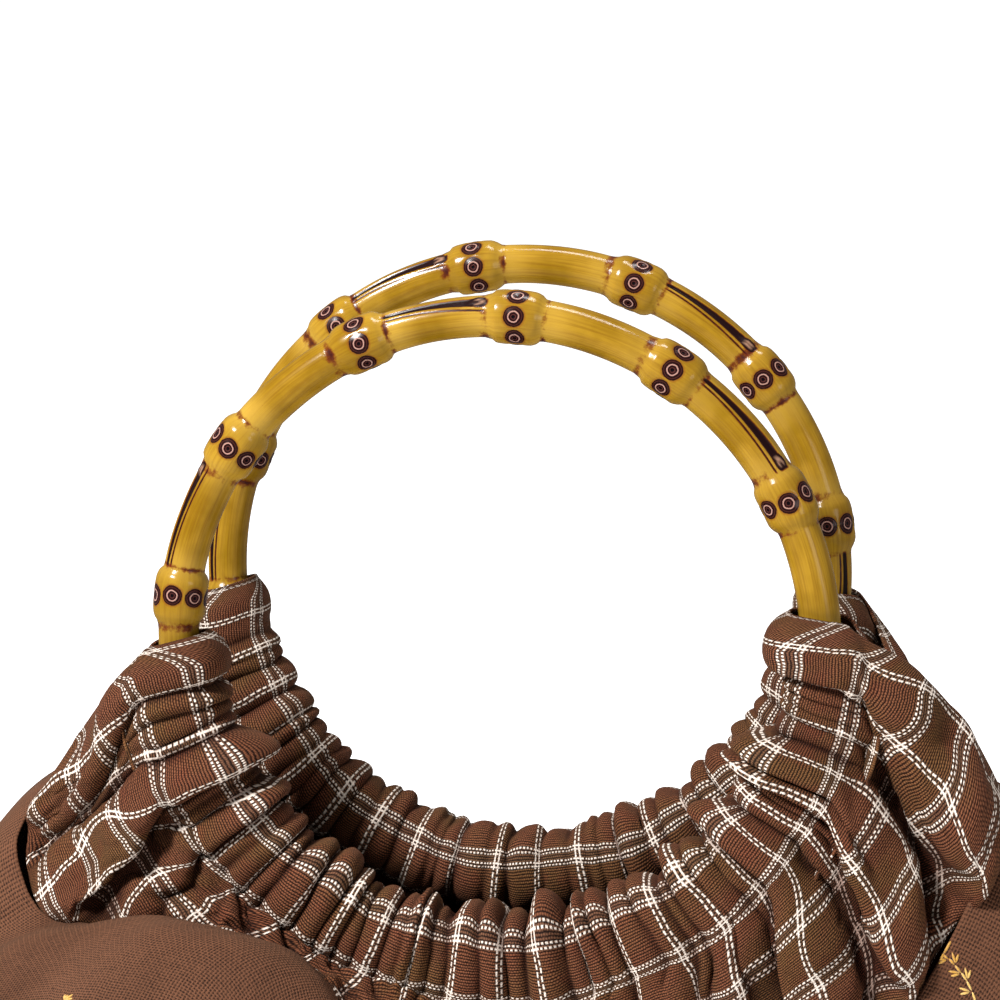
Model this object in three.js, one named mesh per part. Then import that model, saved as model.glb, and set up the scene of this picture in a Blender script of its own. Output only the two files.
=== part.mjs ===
// A soft cloth handbag carried on two round bamboo handles.
// Each checked yoke is wrapped round the lower half of its handle, gathered there, and flares
// down to a plain linen pouch, which stands on a flat oval base. The bag is hollow, and its
// mouth is the gap between the two handles.
// Millimetres and degrees. X runs across the bag, Y from front to back, Z up. The origin is the
// middle of the base, on the surface that the bag stands on.
import * as THREE from "three";
import { mergeVertices } from "three/addons/utils/BufferGeometryUtils.js";

// Handles: bent canes with a knuckle at each joint of the bamboo
const RING_RADIUS = 84; // to the middle of the cane
const CANE_RADIUS = 5.5;
const KNUCKLE_RADIUS = 7.3;
const KNUCKLES = 12;
const CANE_SIDES = 10;
const FRONT_KNUCKLE_AT = 86.5; // angle of one knuckle, from +X towards +Z
const BACK_KNUCKLE_AT = 101;
const HANDLE_HEIGHT = 320; // floor to the middle of the front ring
const BACK_HANDLE_RISE = 4.5; // how much higher the back ring sits
const HANDLE_GAP = 54; // front to back between the two rings
const HANDLE_SETBACK = 5; // how far behind the middle of the bag the pair stands
const HANDLE_LEAN = 7; // degrees by which both rings lean back

// Cloth
const CHECK_WALL = 1.6;
const LINEN_WALL = 1.8;
const SEAM_GAP = 0.3; // clearance between two pieces sewn edge to edge
const LAP_GAP = 1; // clearance between the yoke and the linen that laps over it
const CANE_CLEARANCE = 0.6; // between a knuckle and the sleeve round it
const FRONT_SLEEVE = [182, 367]; // where the cloth wraps each ring, from +X towards +Z
const BACK_SLEEVE = [185, 359];
const SLEEVE_TAPER = 0.025; // share of the sleeve over which each end draws in
const HEM_SKEW = 1.2; // degrees by which the hem's straight cut runs askew to the cane
const GATHER_HEIGHT = 4.6; // of a full gather, above the bottom of its crease
const SLIT_SHARE = 0.45; // how far down the yoke's side the mouth opens
const LAP_SHARE = 0.88; // where the linen starts, as a share of the yoke's length

// Pouch
const YOKE_REACH = 46; // from the ring to the seam, measured down the yoke
const SEAM_HALF_DEPTH = 56; // from the middle of the bag to the seam, where it is deepest
const SEAM_FAN = [204, 340]; // from one side seam to the other, seen from the front ring's middle
const SEAM_WAVE = 5.5; // height of the largest fold that crosses the seam
const SEAM_TUCK = 4; // how far the yoke's lower edge turns in behind the linen
const PUFF_UP = 80; // how hard the linen's shoulder is pulled up and out from the seam
const PUFF_OUT = 20;
const SIDE_BULGE = 54; // how hard the pouch is pulled out below its shoulder, at the sides
const SIDE_DROP = 34;
const FRONT_BULGE = 26; // and at the front and the back
const LOW_SIDE_BULGE = 86; // how hard it is pulled out above the base
const LOW_FRONT_BULGE = 34;
const LOW_RISE = 44;
const LINEN_FOLD = 5; // height of the pouch's largest soft fold
const BASE_HALF_WIDTH = 125;
const BASE_HALF_DEPTH = 55;
const BASE_THICKNESS = 2.4;
const BASE_SQUARENESS = 2.6;

// One joint of the bamboo, from a knuckle to the next one.
// at: share of the joint's angle; swell: share of the way from the cane's radius to the knuckle's
const KNUCKLE_PROFILE = [
  { at: 0, swell: 1 },
  { at: 0.07, swell: 0.8 },
  { at: 0.14, swell: 0.22 },
  { at: 0.5, swell: 0 },
  { at: 0.85, swell: 0.3 },
  { at: 0.94, swell: 0.86 },
];

// The gathers of each yoke along its sleeve.
// end: share of the sleeve where the gather stops; height: share of GATHER_HEIGHT
const FRONT_GATHERS = [
  { end: 0.045, height: 0.3 },
  { end: 0.09, height: 0.55 },
  { end: 0.145, height: 0.75 },
  { end: 0.2, height: 0.7 },
  { end: 0.255, height: 0.85 },
  { end: 0.3, height: 0.45 },
  { end: 0.33, height: 0.6 },
  { end: 0.36, height: 0.7 },
  { end: 0.39, height: 0.9 },
  { end: 0.44, height: 1 },
  { end: 0.525, height: 1.1 },
  { end: 0.57, height: 0.8 },
  { end: 0.61, height: 0.65 },
  { end: 0.67, height: 0.6 },
  { end: 0.73, height: 0.7 },
  { end: 0.795, height: 1.15 },
  { end: 0.85, height: 0.85 },
  { end: 0.895, height: 1.3 },
  { end: 0.945, height: 0.75 },
  { end: 1, height: 0.3 },
];
const BACK_GATHERS = [
  { end: 0.06, height: 0.35 },
  { end: 0.1, height: 0.6 },
  { end: 0.13, height: 0.7 },
  { end: 0.185, height: 1 },
  { end: 0.235, height: 0.75 },
  { end: 0.27, height: 0.6 },
  { end: 0.33, height: 0.95 },
  { end: 0.36, height: 0.6 },
  { end: 0.4, height: 0.8 },
  { end: 0.445, height: 0.7 },
  { end: 0.475, height: 0.55 },
  { end: 0.53, height: 0.9 },
  { end: 0.56, height: 0.55 },
  { end: 0.61, height: 0.85 },
  { end: 0.68, height: 0.7 },
  { end: 0.72, height: 0.9 },
  { end: 0.78, height: 0.8 },
  { end: 0.84, height: 1 },
  { end: 0.91, height: 0.7 },
  { end: 1, height: 0.35 },
];

// The way the yoke's cloth goes round the cane, from the hem behind it to the front.
// out: from the cane's middle away from the ring's centre; face: towards the outside of the bag,
// both as shares of the sleeve's radius; lift: share of the gather's height there
const SLEEVE_WRAP = [
  { out: 1.16, face: -0.42, lift: 0.35 },
  { out: 0.24, face: -1.14, lift: 0.6 },
  { out: -0.84, face: -0.86, lift: 0.8 },
  { out: -1.08, face: 0, lift: 1.25 },
  { out: -0.84, face: 0.86, lift: 1 },
  { out: 0.24, face: 1.14, lift: 0.8 },
  { out: 1.05, face: 1.07, lift: 0.8 },
];

// The yoke below the sleeve. down: share of its length; lift: share of the gather's height
const YOKE_ROWS = [
  { down: 0.3, lift: 0.8 },
  { down: 0.62, lift: 0.5 },
  { down: LAP_SHARE, lift: 0 },
  { down: 1, lift: 0 },
];
const HEM_DOWN = 0.13; // where the hem behind is sewn on, as a share of the yoke's length

// The seam between the yoke and the linen, from one side of the bag to the other.
// at: share of the sleeve; turn: share of SEAM_FAN; reach: share of YOKE_REACH; puff: share of the
// linen's shoulder; wave: share of SEAM_WAVE, for the broad folds that cross the seam; droop:
// degrees by which the yoke leaves the sleeve lower than straight out from the ring
const SEAM = [
  { at: 0, turn: 0, reach: 1.13, puff: 0.05, wave: 0, droop: 52 },
  { at: 0.03, turn: 0.03, reach: 1.36, puff: 0.05, wave: 0.4, droop: 36 },
  { at: 0.07, turn: 0.088, reach: 1.34, puff: 0.12, wave: 0.6, droop: 24 },
  { at: 0.135, turn: 0.122, reach: 0.93, puff: 0.62, wave: 0.3, droop: 8 },
  { at: 0.21, turn: 0.162, reach: 0.46, puff: 0.9, wave: -0.4, droop: 2 },
  { at: 0.28, turn: 0.213, reach: 0.25, puff: 0.95, wave: 0.3, droop: 0 },
  { at: 0.35, turn: 0.298, reach: 0.24, puff: 0.9, wave: -0.3, droop: 0 },
  { at: 0.43, turn: 0.412, reach: 0.59, puff: 0.35, wave: 0.5, droop: 0 },
  { at: 0.54, turn: 0.545, reach: 0.88, puff: 0.2, wave: -0.8, droop: 4 },
  { at: 0.63, turn: 0.64, reach: 1.02, puff: 0.25, wave: 0.7, droop: 10 },
  { at: 0.71, turn: 0.715, reach: 1.14, puff: 0.2, wave: -0.7, droop: 18 },
  { at: 0.79, turn: 0.787, reach: 1.24, puff: 0.3, wave: 1, droop: 20 },
  { at: 0.87, turn: 0.868, reach: 1.28, puff: 0.3, wave: -0.5, droop: 10 },
  { at: 0.94, turn: 0.938, reach: 1.18, puff: 0.2, wave: 0.6, droop: 22 },
  { at: 1, turn: 1, reach: 1.26, puff: 0.1, wave: 0, droop: 52 },
];

// Soft folds of the pouch. at: share of the way round; width: half width as a share;
// depth: share of LINEN_FOLD; foot: share of the wall's height where the fold has died out
const LINEN_FOLDS = [
  { at: 0.1, width: 0.045, depth: 0.9, foot: 0.8 },
  { at: 0.2, width: 0.05, depth: -0.8, foot: 0.7 },
  { at: 0.31, width: 0.06, depth: 1, foot: 0.9 },
  { at: 0.42, width: 0.05, depth: -0.9, foot: 0.75 },
  { at: 0.53, width: 0.05, depth: 0.8, foot: 0.65 },
  { at: 0.64, width: 0.06, depth: -1, foot: 0.85 },
  { at: 0.75, width: 0.05, depth: 0.9, foot: 0.8 },
  { at: 0.86, width: 0.05, depth: -0.7, foot: 0.7 },
  { at: 0.93, width: 0.035, depth: 0.7, foot: 0.6 },
];

// Columns inside one gather, as shares of its width, and one more beside each end of the sleeve
const GATHER_STEPS = [0, 0.3, 0.7];
const HEM_COLUMNS = [0.006];
const LINEN_COLUMNS = [
  0, 0.012, 0.035, 0.07, 0.1, 0.135, 0.17, 0.2, 0.235, 0.27, 0.31, 0.345, 0.38, 0.42, 0.455, 0.49,
  0.53, 0.565, 0.6, 0.64, 0.675, 0.71, 0.75, 0.785, 0.82, 0.86, 0.895, 0.93, 0.965, 0.988, 1,
];
const LINEN_ROWS = [0, 0.05, 0.12, 0.22, 0.35, 0.5, 0.66, 0.82, 0.94, 1];

const CHECK_CLOTH = { color: 0x4a2d22, roughness: 0.95, metalness: 0 };
const LINEN_CLOTH = { color: 0x5f4232, roughness: 0.95, metalness: 0 };
const BAMBOO = { color: 0xc49a3f, roughness: 0.25, metalness: 0 };

const radians = THREE.MathUtils.degToRad;
const mix = THREE.MathUtils.lerp;
const smooth = (x) => THREE.MathUtils.smoothstep(x, 0, 1);

// A column of a table at x, on a smooth curve through its rows.
function tableValue(table, key, x) {
  const last = table.length - 1;
  if (x <= table[0].at) return table[0][key];
  if (x >= table[last].at) return table[last][key];
  const i = table.findIndex((row) => row.at > x) - 1;
  const slope = (k) => {
    const a = table[Math.max(k - 1, 0)];
    const b = table[Math.min(k + 1, last)];
    return (b[key] - a[key]) / (b.at - a.at);
  };
  const width = table[i + 1].at - table[i].at;
  const u = (x - table[i].at) / width;
  const u2 = u * u;
  const u3 = u2 * u;
  return (
    (2 * u3 - 3 * u2 + 1) * table[i][key] +
    (u3 - 2 * u2 + u) * width * slope(i) +
    (3 * u2 - 2 * u3) * table[i + 1][key] +
    (u3 - u2) * width * slope(i + 1)
  );
}

// The two sides of the bag: everything that a front piece and its back twin don't share.
// inside: how high the gathers stand on the ring's inner side, as a share
const FRONT = {
  name: "front",
  side: -1,
  ringY: HANDLE_SETBACK - HANDLE_GAP / 2,
  ringZ: HANDLE_HEIGHT,
  knuckleAt: FRONT_KNUCKLE_AT,
  sleeve: FRONT_SLEEVE,
  gathers: FRONT_GATHERS,
  inside: 1,
};
const BACK = {
  name: "back",
  side: 1,
  ringY: HANDLE_SETBACK + HANDLE_GAP / 2,
  ringZ: HANDLE_HEIGHT + BACK_HANDLE_RISE,
  knuckleAt: BACK_KNUCKLE_AT,
  sleeve: BACK_SLEEVE,
  gathers: BACK_GATHERS,
  inside: 0.5,
};

// A point given in a ring's own plane: its distance and angle from the ring's centre, and how far
// it stands off the plane towards the outside of the bag.
function atRing(half, radius, angle, face) {
  const lean = radians(HANDLE_LEAN);
  const up = radius * Math.sin(radians(angle));
  const off = half.side * face;
  return new THREE.Vector3(
    radius * Math.cos(radians(angle)),
    half.ringY + off * Math.cos(lean) + up * Math.sin(lean),
    half.ringZ + up * Math.cos(lean) - off * Math.sin(lean),
  );
}

const sleeveAngle = (half, t) => mix(half.sleeve[0], half.sleeve[1], t);
const sideways = (t) => -Math.cos(Math.PI * t);
const frontways = (t) => Math.sin(Math.PI * t);

// How full the bag is from front to back at t, rising steeply from the side seams.
const fullness = (t) => Math.pow(Math.max(0, 1 - Math.pow(Math.abs(2 * t - 1), 2.3)), 1 / 2.3);

// Height of a gather at t, plump in its middle, with a sharp crease at each end.
function gatherAt(half, t) {
  const i = Math.max(0, half.gathers.findIndex((g) => g.end >= t - 1e-9));
  const start = i ? half.gathers[i - 1].end : 0;
  const u = (t - start) / (half.gathers[i].end - start);
  const plump = 1 - Math.pow(Math.abs(2 * u - 1), 2.4);
  return GATHER_HEIGHT * half.gathers[i].height * Math.max(0, plump);
}

// The middle of the sleeve's wall, measured from the middle of the cane. It is wide enough for the
// knuckles, and draws in to the bare cane at each end.
function sleeveRadius(t) {
  const inner = mix(CANE_RADIUS, KNUCKLE_RADIUS, smooth(Math.min(t, 1 - t) / SLEEVE_TAPER));
  return inner + CANE_CLEARANCE + CHECK_WALL / 2;
}

// A point of the sleeve at t, on one row of SLEEVE_WRAP. The hem at each end is a straight cut,
// so it runs askew to the cane.
function sleevePoint(half, t, row) {
  const askew = row.out * HEM_SKEW * Math.pow(1 - 2 * t, 5);
  const radius = RING_RADIUS + row.out * sleeveRadius(t);
  return atRing(half, radius, sleeveAngle(half, t) + askew, row.face * sleeveRadius(t));
}

// The seam's point at t, on the middle of the yoke's wall.
function seamPoint(half, t) {
  const reach = RING_RADIUS + YOKE_REACH * tableValue(SEAM, "reach", t);
  const angle = radians(mix(SEAM_FAN[0], SEAM_FAN[1], tableValue(SEAM, "turn", t)));
  const wave = SEAM_WAVE * tableValue(SEAM, "wave", t);
  const depth = SEAM_HALF_DEPTH * fullness(t) + wave * frontways(t);
  return new THREE.Vector3(
    reach * Math.cos(angle) + wave * sideways(t) * 0.5,
    half.side * depth,
    HANDLE_HEIGHT + reach * Math.sin(angle),
  );
}

// The yoke at t, from the cane's outer side (down 0) to the seam (down 1), without its gathers.
function yokePoint(half, t, down) {
  const start = sleevePoint(half, t, SLEEVE_WRAP[SLEEVE_WRAP.length - 1]);
  const seam = seamPoint(half, t);
  const pull = 0.55 * Math.hypot(seam.x - start.x, seam.z - start.z);
  const leaves = radians(sleeveAngle(half, t) + tableValue(SEAM, "droop", t) * (t < 0.5 ? 1 : -1));
  const bend = { x: start.x + pull * Math.cos(leaves), z: start.z + pull * Math.sin(leaves) };
  const a = (1 - down) * (1 - down);
  const b = 2 * down * (1 - down);
  const c = down * down;
  const closing = Math.pow(Math.abs(2 * t - 1), 6);
  const swing = Math.sin((Math.PI / 2) * down);
  const across = mix(swing, smooth(down / SLIT_SHARE), closing);
  const tuck = SEAM_TUCK * smooth((down - LAP_SHARE) / (1 - LAP_SHARE));
  return new THREE.Vector3(
    a * start.x + b * bend.x + c * seam.x - tuck * sideways(t),
    mix(start.y, seam.y, across) - half.side * tuck * frontways(t),
    a * start.z + b * bend.z + c * seam.z,
  );
}

// Which way the yoke faces at t, without its gathers.
function yokeOutward(half, t, down) {
  const along = yokePoint(half, t, down + 0.02).sub(yokePoint(half, t, down - 0.02));
  const right = yokePoint(half, Math.min(t + 0.01, 1), down);
  const across = right.sub(yokePoint(half, Math.max(t - 0.01, 0), down));
  return across.cross(along).normalize().multiplyScalar(half.side);
}

// The linen at t, from its lap over the yoke (down 0) to the base (down 1).
function linenPoint(half, t, down) {
  const puff = tableValue(SEAM, "puff", t);
  const clear = (CHECK_WALL + LINEN_WALL) / 2 + LAP_GAP;
  const outX = sideways(t);
  const outY = half.side * frontways(t);
  const lap = yokePoint(half, t, LAP_SHARE);
  const start = lap.addScaledVector(yokeOutward(half, t, LAP_SHARE - 0.02), clear);
  const foot = basePoint(half, t, 0);
  const shoulder = start.clone().add(
    new THREE.Vector3(
      outX * (SIDE_BULGE + puff * PUFF_OUT),
      outY * (FRONT_BULGE + puff * PUFF_OUT),
      puff * PUFF_UP - Math.abs(outX) * SIDE_DROP,
    ),
  );
  const hip = foot.clone().add(
    new THREE.Vector3(outX * LOW_SIDE_BULGE, outY * LOW_FRONT_BULGE, LOW_RISE),
  );
  const point = new THREE.CubicBezierCurve3(start, shoulder, hip, foot).getPoint(down);
  const fold = linenFold(t, down);
  return point.add(new THREE.Vector3(outX * fold, outY * fold, 0));
}

// How far the pouch's soft folds stand out at t.
function linenFold(t, down) {
  let share = 0;
  for (const fold of LINEN_FOLDS) {
    const away = (t - fold.at) / fold.width;
    const fade = Math.max(0, 1 - down / fold.foot) * smooth(down / 0.12);
    share += fold.depth * Math.exp(-away * away) * fade;
  }
  return LINEN_FOLD * share;
}

// The base's outline at t, moved in by inset.
function basePoint(half, t, inset) {
  const power = 2 / BASE_SQUARENESS;
  const x = Math.sign(sideways(t)) * Math.pow(Math.abs(sideways(t)), power);
  const y = Math.pow(Math.max(0, frontways(t)), power);
  return new THREE.Vector3(
    x * (BASE_HALF_WIDTH - inset),
    half.side * y * (BASE_HALF_DEPTH - inset),
    0,
  );
}

// One skin of a cloth wall. grid[column][row] lies on the middle of the wall, and lift tells how
// far the wall is raised there towards the outside of the bag. skin is 1 outside and -1 inside,
// and settle puts a point that would stray back in its place.
function skinPoints(half, grid, lift, skin, wall, settle) {
  const beside = (list, k) => [list[Math.max(k - 1, 0)], list[Math.min(k + 1, list.length - 1)]];
  const positions = [];
  grid.forEach((column, i) => {
    const [left, right] = beside(grid, i);
    column.forEach((point, j) => {
      const [above, below] = beside(column, j);
      const across = right[j].clone().sub(left[j]);
      const down = below.clone().sub(above);
      const outward = across.cross(down).normalize().multiplyScalar(half.side);
      const height = lift[i][j] + (skin * wall) / 2;
      const p = settle(point.clone().addScaledVector(outward, height), j);
      positions.push(p.x, p.y, p.z);
    });
  });
  return positions;
}

// The faces of a wall: the two skins, and the strips that close its four edges.
function wallCorners(columns, rows) {
  const corners = [];
  const at = (skin, i, j) => (skin * columns + i) * rows + j;
  const endRow = rows - 1;
  const endColumn = columns - 1;
  for (let i = 0; i < endColumn; i++) {
    const next = i + 1;
    for (let j = 0; j < endRow; j++) {
      corners.push([at(0, i, j), at(0, next, j), at(0, next, j + 1), at(0, i, j + 1)]);
      corners.push([at(1, i, j), at(1, i, j + 1), at(1, next, j + 1), at(1, next, j)]);
    }
    corners.push([at(0, i, 0), at(1, i, 0), at(1, next, 0), at(0, next, 0)]);
    corners.push([at(0, i, endRow), at(0, next, endRow), at(1, next, endRow), at(1, i, endRow)]);
  }
  for (let j = 0; j < endRow; j++) {
    const k = j + 1;
    corners.push([at(0, 0, j), at(0, 0, k), at(1, 0, k), at(1, 0, j)]);
    corners.push([at(0, endColumn, j), at(1, endColumn, j), at(1, endColumn, k), at(0, endColumn, k)]);
  }
  return corners;
}

function clothWall(half, grid, lift, wall, settle) {
  const positions = [1, -1].flatMap((skin) => skinPoints(half, grid, lift, skin, wall, settle));
  return closedBody(positions, wallCorners(grid.length, grid[0].length), half.side < 0);
}

// A closed body of four-cornered faces; turned reverses the way that they face.
function closedBody(positions, corners, turned) {
  const geometry = new THREE.BufferGeometry();
  geometry.setAttribute("position", new THREE.Float32BufferAttribute(positions, 3));
  const faces = ([a, b, c, d]) => (turned ? [a, c, b, a, d, c] : [a, b, c, a, c, d]);
  geometry.setIndex(corners.flatMap(faces));
  geometry.computeVertexNormals();
  return geometry;
}

// Keeps a point at least half a seam's clearance from the middle plane of the bag.
function onOwnSide(half, point) {
  const least = SEAM_GAP / 2;
  if (point.y * half.side < least) point.y = half.side * least;
  return point;
}

// A named part with its own material.
function piece(name, geometry, look) {
  const mesh = new THREE.Mesh(geometry, new THREE.MeshStandardMaterial(look));
  mesh.name = name;
  return mesh;
}

// A handle: one closed bamboo ring, swept round section by section.
function handle(half) {
  const joint = 360 / KNUCKLES;
  const sections = [];
  for (let k = 0; k < KNUCKLES; k++) {
    for (const row of KNUCKLE_PROFILE) {
      sections.push({
        angle: half.knuckleAt + (k + row.at) * joint,
        radius: mix(CANE_RADIUS, KNUCKLE_RADIUS, row.swell),
      });
    }
  }
  const positions = [];
  const corners = [];
  sections.forEach((section, i) => {
    for (let s = 0; s < CANE_SIDES; s++) {
      const turn = (2 * Math.PI * s) / CANE_SIDES;
      const out = RING_RADIUS + section.radius * Math.cos(turn);
      const p = atRing(half, out, section.angle, section.radius * Math.sin(turn));
      positions.push(p.x, p.y, p.z);
      const here = i * CANE_SIDES;
      const next = ((i + 1) % sections.length) * CANE_SIDES;
      const beside = (s + 1) % CANE_SIDES;
      corners.push([here + s, here + beside, next + beside, next + s]);
    }
  });
  return piece("handle_" + half.name, closedBody(positions, corners, half.side < 0), BAMBOO);
}

// The shares of the sleeve at which the yoke has a column of points.
function yokeColumns(half) {
  const shares = [...HEM_COLUMNS, ...HEM_COLUMNS.map((t) => 1 - t), 1];
  half.gathers.forEach((gather, k) => {
    const start = k ? half.gathers[k - 1].end : 0;
    for (const u of GATHER_STEPS) shares.push(mix(start, gather.end, u));
  });
  return shares.sort((a, b) => a - b);
}

// The middle of the yoke's cloth where its hem is sewn on, behind the yoke itself.
function hemPoint(half, t) {
  const behind = -(CHECK_WALL + SEAM_GAP);
  return yokePoint(half, t, HEM_DOWN).addScaledVector(yokeOutward(half, t, HEM_DOWN), behind);
}

// A yoke: one sheet from its hem, round the cane, and down to the seam.
function yoke(half) {
  const grid = [];
  const lift = [];
  for (const t of yokeColumns(half)) {
    const height = gatherAt(half, t);
    const column = [hemPoint(half, t)];
    const raised = [0];
    for (const row of SLEEVE_WRAP) {
      column.push(sleevePoint(half, t, row));
      raised.push(height * row.lift * (row.out < 0 ? half.inside : 1));
    }
    for (const row of YOKE_ROWS) {
      column.push(yokePoint(half, t, row.down));
      raised.push(height * row.lift);
    }
    grid.push(column);
    lift.push(raised);
  }
  const geometry = clothWall(half, grid, lift, CHECK_WALL, (p) => onOwnSide(half, p));
  return piece("yoke_" + half.name, geometry, CHECK_CLOTH);
}

// One half of the pouch, from its lap over the yoke down to the base.
function linen(half) {
  const grid = LINEN_COLUMNS.map((t) => LINEN_ROWS.map((down) => linenPoint(half, t, down)));
  const flat = grid.map((column) => column.map(() => 0));
  const endRow = LINEN_ROWS.length - 1;
  const onFloor = (p, j) => {
    if (j === endRow) p.z = 0;
    return onOwnSide(half, p);
  };
  return piece("linen_" + half.name, clothWall(half, grid, flat, LINEN_WALL, onFloor), LINEN_CLOTH);
}

// The base: an oval plate of cloth, inside the foot of the linen.
function base() {
  const inset = LINEN_WALL / 2 + SEAM_GAP;
  const outline = [];
  for (const half of [FRONT, BACK]) {
    const shares = half.side < 0 ? LINEN_COLUMNS : [...LINEN_COLUMNS].reverse();
    for (const t of shares.slice(0, -1)) {
      const p = basePoint(half, t, inset);
      outline.push(new THREE.Vector2(p.x, p.y));
    }
  }
  const plate = new THREE.ExtrudeGeometry(new THREE.Shape(outline), {
    depth: BASE_THICKNESS,
    bevelEnabled: false,
    steps: 1,
  });
  plate.deleteAttribute("normal");
  plate.deleteAttribute("uv");
  const geometry = mergeVertices(plate);
  geometry.computeVertexNormals();
  return piece("linen_base", geometry, LINEN_CLOTH);
}

const bag = new THREE.Group();
for (const half of [FRONT, BACK]) {
  bag.add(handle(half), yoke(half), linen(half));
}
bag.add(base());

export default bag;
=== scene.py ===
# A soft cloth handbag on two bamboo ring handles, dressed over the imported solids.
# The shapes are worked out in millimetres in the part's own frame, and turned to metres when a
# mesh is made. A yoke is one sheet: t runs along its sleeve from 0 at the left side to 1 at the
# right, and down runs from the cane to the seam with the linen.
import math

import bmesh
import bpy
import numpy as np
from mathutils import Matrix, Vector


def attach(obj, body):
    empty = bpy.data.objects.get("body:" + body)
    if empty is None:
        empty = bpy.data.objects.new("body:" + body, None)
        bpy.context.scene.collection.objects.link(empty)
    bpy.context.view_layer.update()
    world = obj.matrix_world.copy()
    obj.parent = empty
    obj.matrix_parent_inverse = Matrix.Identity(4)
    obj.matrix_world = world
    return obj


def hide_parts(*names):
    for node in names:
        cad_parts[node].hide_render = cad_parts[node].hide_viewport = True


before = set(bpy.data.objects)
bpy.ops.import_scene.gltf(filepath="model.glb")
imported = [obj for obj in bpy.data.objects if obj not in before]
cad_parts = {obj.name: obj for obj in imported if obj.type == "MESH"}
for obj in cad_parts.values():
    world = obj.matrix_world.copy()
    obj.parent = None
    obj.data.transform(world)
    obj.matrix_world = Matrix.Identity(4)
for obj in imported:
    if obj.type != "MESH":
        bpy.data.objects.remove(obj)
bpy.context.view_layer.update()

MM = 0.001

# Handles
RING_RADIUS = 84.0
CANE_RADIUS = 5.5
KNUCKLE_RADIUS = 7.3
HANDLE_HEIGHT = 320.0
BACK_HANDLE_RISE = 4.5
HANDLE_GAP = 54.0
HANDLE_SETBACK = 5.0
HANDLE_LEAN = math.radians(7)

# Cloth
CHECK_WALL = 1.6
LINEN_WALL = 1.8
COTTON = 0.8  # thickness of the dressed cotton
LINEN = 1.0  # and of the linen
EDGE_ROUND = 0.4  # how far a raw edge stands out, as a share of the thickness
SIDE_CLEAR = 0.15  # from each half to the plane between them
LAP_GAP = 1.0
CANE_CLEARANCE = 0.6
SLEEVE_TAPER = 0.025
HEM_SKEW = 1.2
GATHER_HEIGHT = 4.6
FOLD_LEAN = 0.9
SLIT_SHARE = 0.45
LAP_SHARE = 0.88
HEM_DOWN = 0.13
YOKE_REACH = 46.0
SEAM_HALF_DEPTH = 56.0
SEAM_FAN = (204.0, 340.0)
SEAM_WAVE = 5.5
SEAM_TUCK = 4.0

# Pouch
PUFF_UP = 80.0
PUFF_OUT = 20.0
SIDE_BULGE = 54.0
SIDE_DROP = 34.0
FRONT_BULGE = 26.0
LOW_SIDE_BULGE = 86.0
LOW_FRONT_BULGE = 34.0
LOW_RISE = 44.0
LINEN_FOLD = 5.0
BASE_HALF_WIDTH = 125.0
BASE_HALF_DEPTH = 55.0
BASE_THICKNESS = 2.4
BASE_SQUARENESS = 2.6

# The turned-in edges at the bag's two sides: half width, thickness, and depth under the cloth
SEAM_STRIP_HALF = 1.6
SEAM_STRIP_THICK = 0.6
SEAM_STRIP_DEEP = 1.1

# How finely the sheets are divided. WRAP_STEPS go from one point round the cane to the next.
YOKE_COLUMNS = {"front": 420, "back": 340}
WRAP_STEPS = 6
HANG_ROWS = 62
POUCH_COLUMNS, POUCH_ROWS = 240, 110

# The seam from one side of the bag to the other: at, turn, reach, puff, wave, droop
SEAM = np.array([
    (0, 0, 1.13, 0.05, 0, 52),
    (0.03, 0.03, 1.36, 0.05, 0.4, 36),
    (0.07, 0.088, 1.34, 0.12, 0.6, 24),
    (0.135, 0.122, 0.93, 0.62, 0.3, 8),
    (0.21, 0.162, 0.46, 0.9, -0.4, 2),
    (0.28, 0.213, 0.25, 0.95, 0.3, 0),
    (0.35, 0.298, 0.24, 0.9, -0.3, 0),
    (0.43, 0.412, 0.59, 0.35, 0.5, 0),
    (0.54, 0.545, 0.88, 0.2, -0.8, 4),
    (0.63, 0.64, 1.02, 0.25, 0.7, 10),
    (0.71, 0.715, 1.14, 0.2, -0.7, 18),
    (0.79, 0.787, 1.24, 0.3, 1, 20),
    (0.87, 0.868, 1.28, 0.3, -0.5, 10),
    (0.94, 0.938, 1.18, 0.2, 0.6, 22),
    (1, 1, 1.26, 0.1, 0, 52),
], float)
TURN, REACH, PUFF, WAVE, DROOP = 1, 2, 3, 4, 5

# Soft folds of the pouch: at, half width, depth, foot
LINEN_FOLDS = (
    (0.1, 0.045, 0.9, 0.8), (0.2, 0.05, -0.8, 0.7), (0.31, 0.06, 1, 0.9),
    (0.42, 0.05, -0.9, 0.75), (0.53, 0.05, 0.8, 0.65), (0.64, 0.06, -1, 0.85),
    (0.75, 0.05, 0.9, 0.8), (0.86, 0.05, -0.7, 0.7), (0.93, 0.035, 0.7, 0.6),
)

# The way round the cane: out, face, lift
SLEEVE_WRAP = (
    (1.16, -0.42, 0.35), (0.24, -1.14, 0.6), (-0.84, -0.86, 0.8), (-1.08, 0, 1.25),
    (-0.84, 0.86, 1), (0.24, 1.14, 0.8), (1.05, 1.07, 0.8),
)

# Where a thread that leaves the sleeve at one share comes to the seam: left folds sweep outwards
THREADS = np.array([
    (0, 0), (0.03, 0.01), (0.07, 0.024), (0.1, 0.036), (0.135, 0.058), (0.17, 0.098),
    (0.21, 0.155), (0.25, 0.212), (0.3, 0.275), (0.36, 0.35), (0.43, 0.427), (0.5, 0.5),
    (0.75, 0.75), (1, 1),
])

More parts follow.
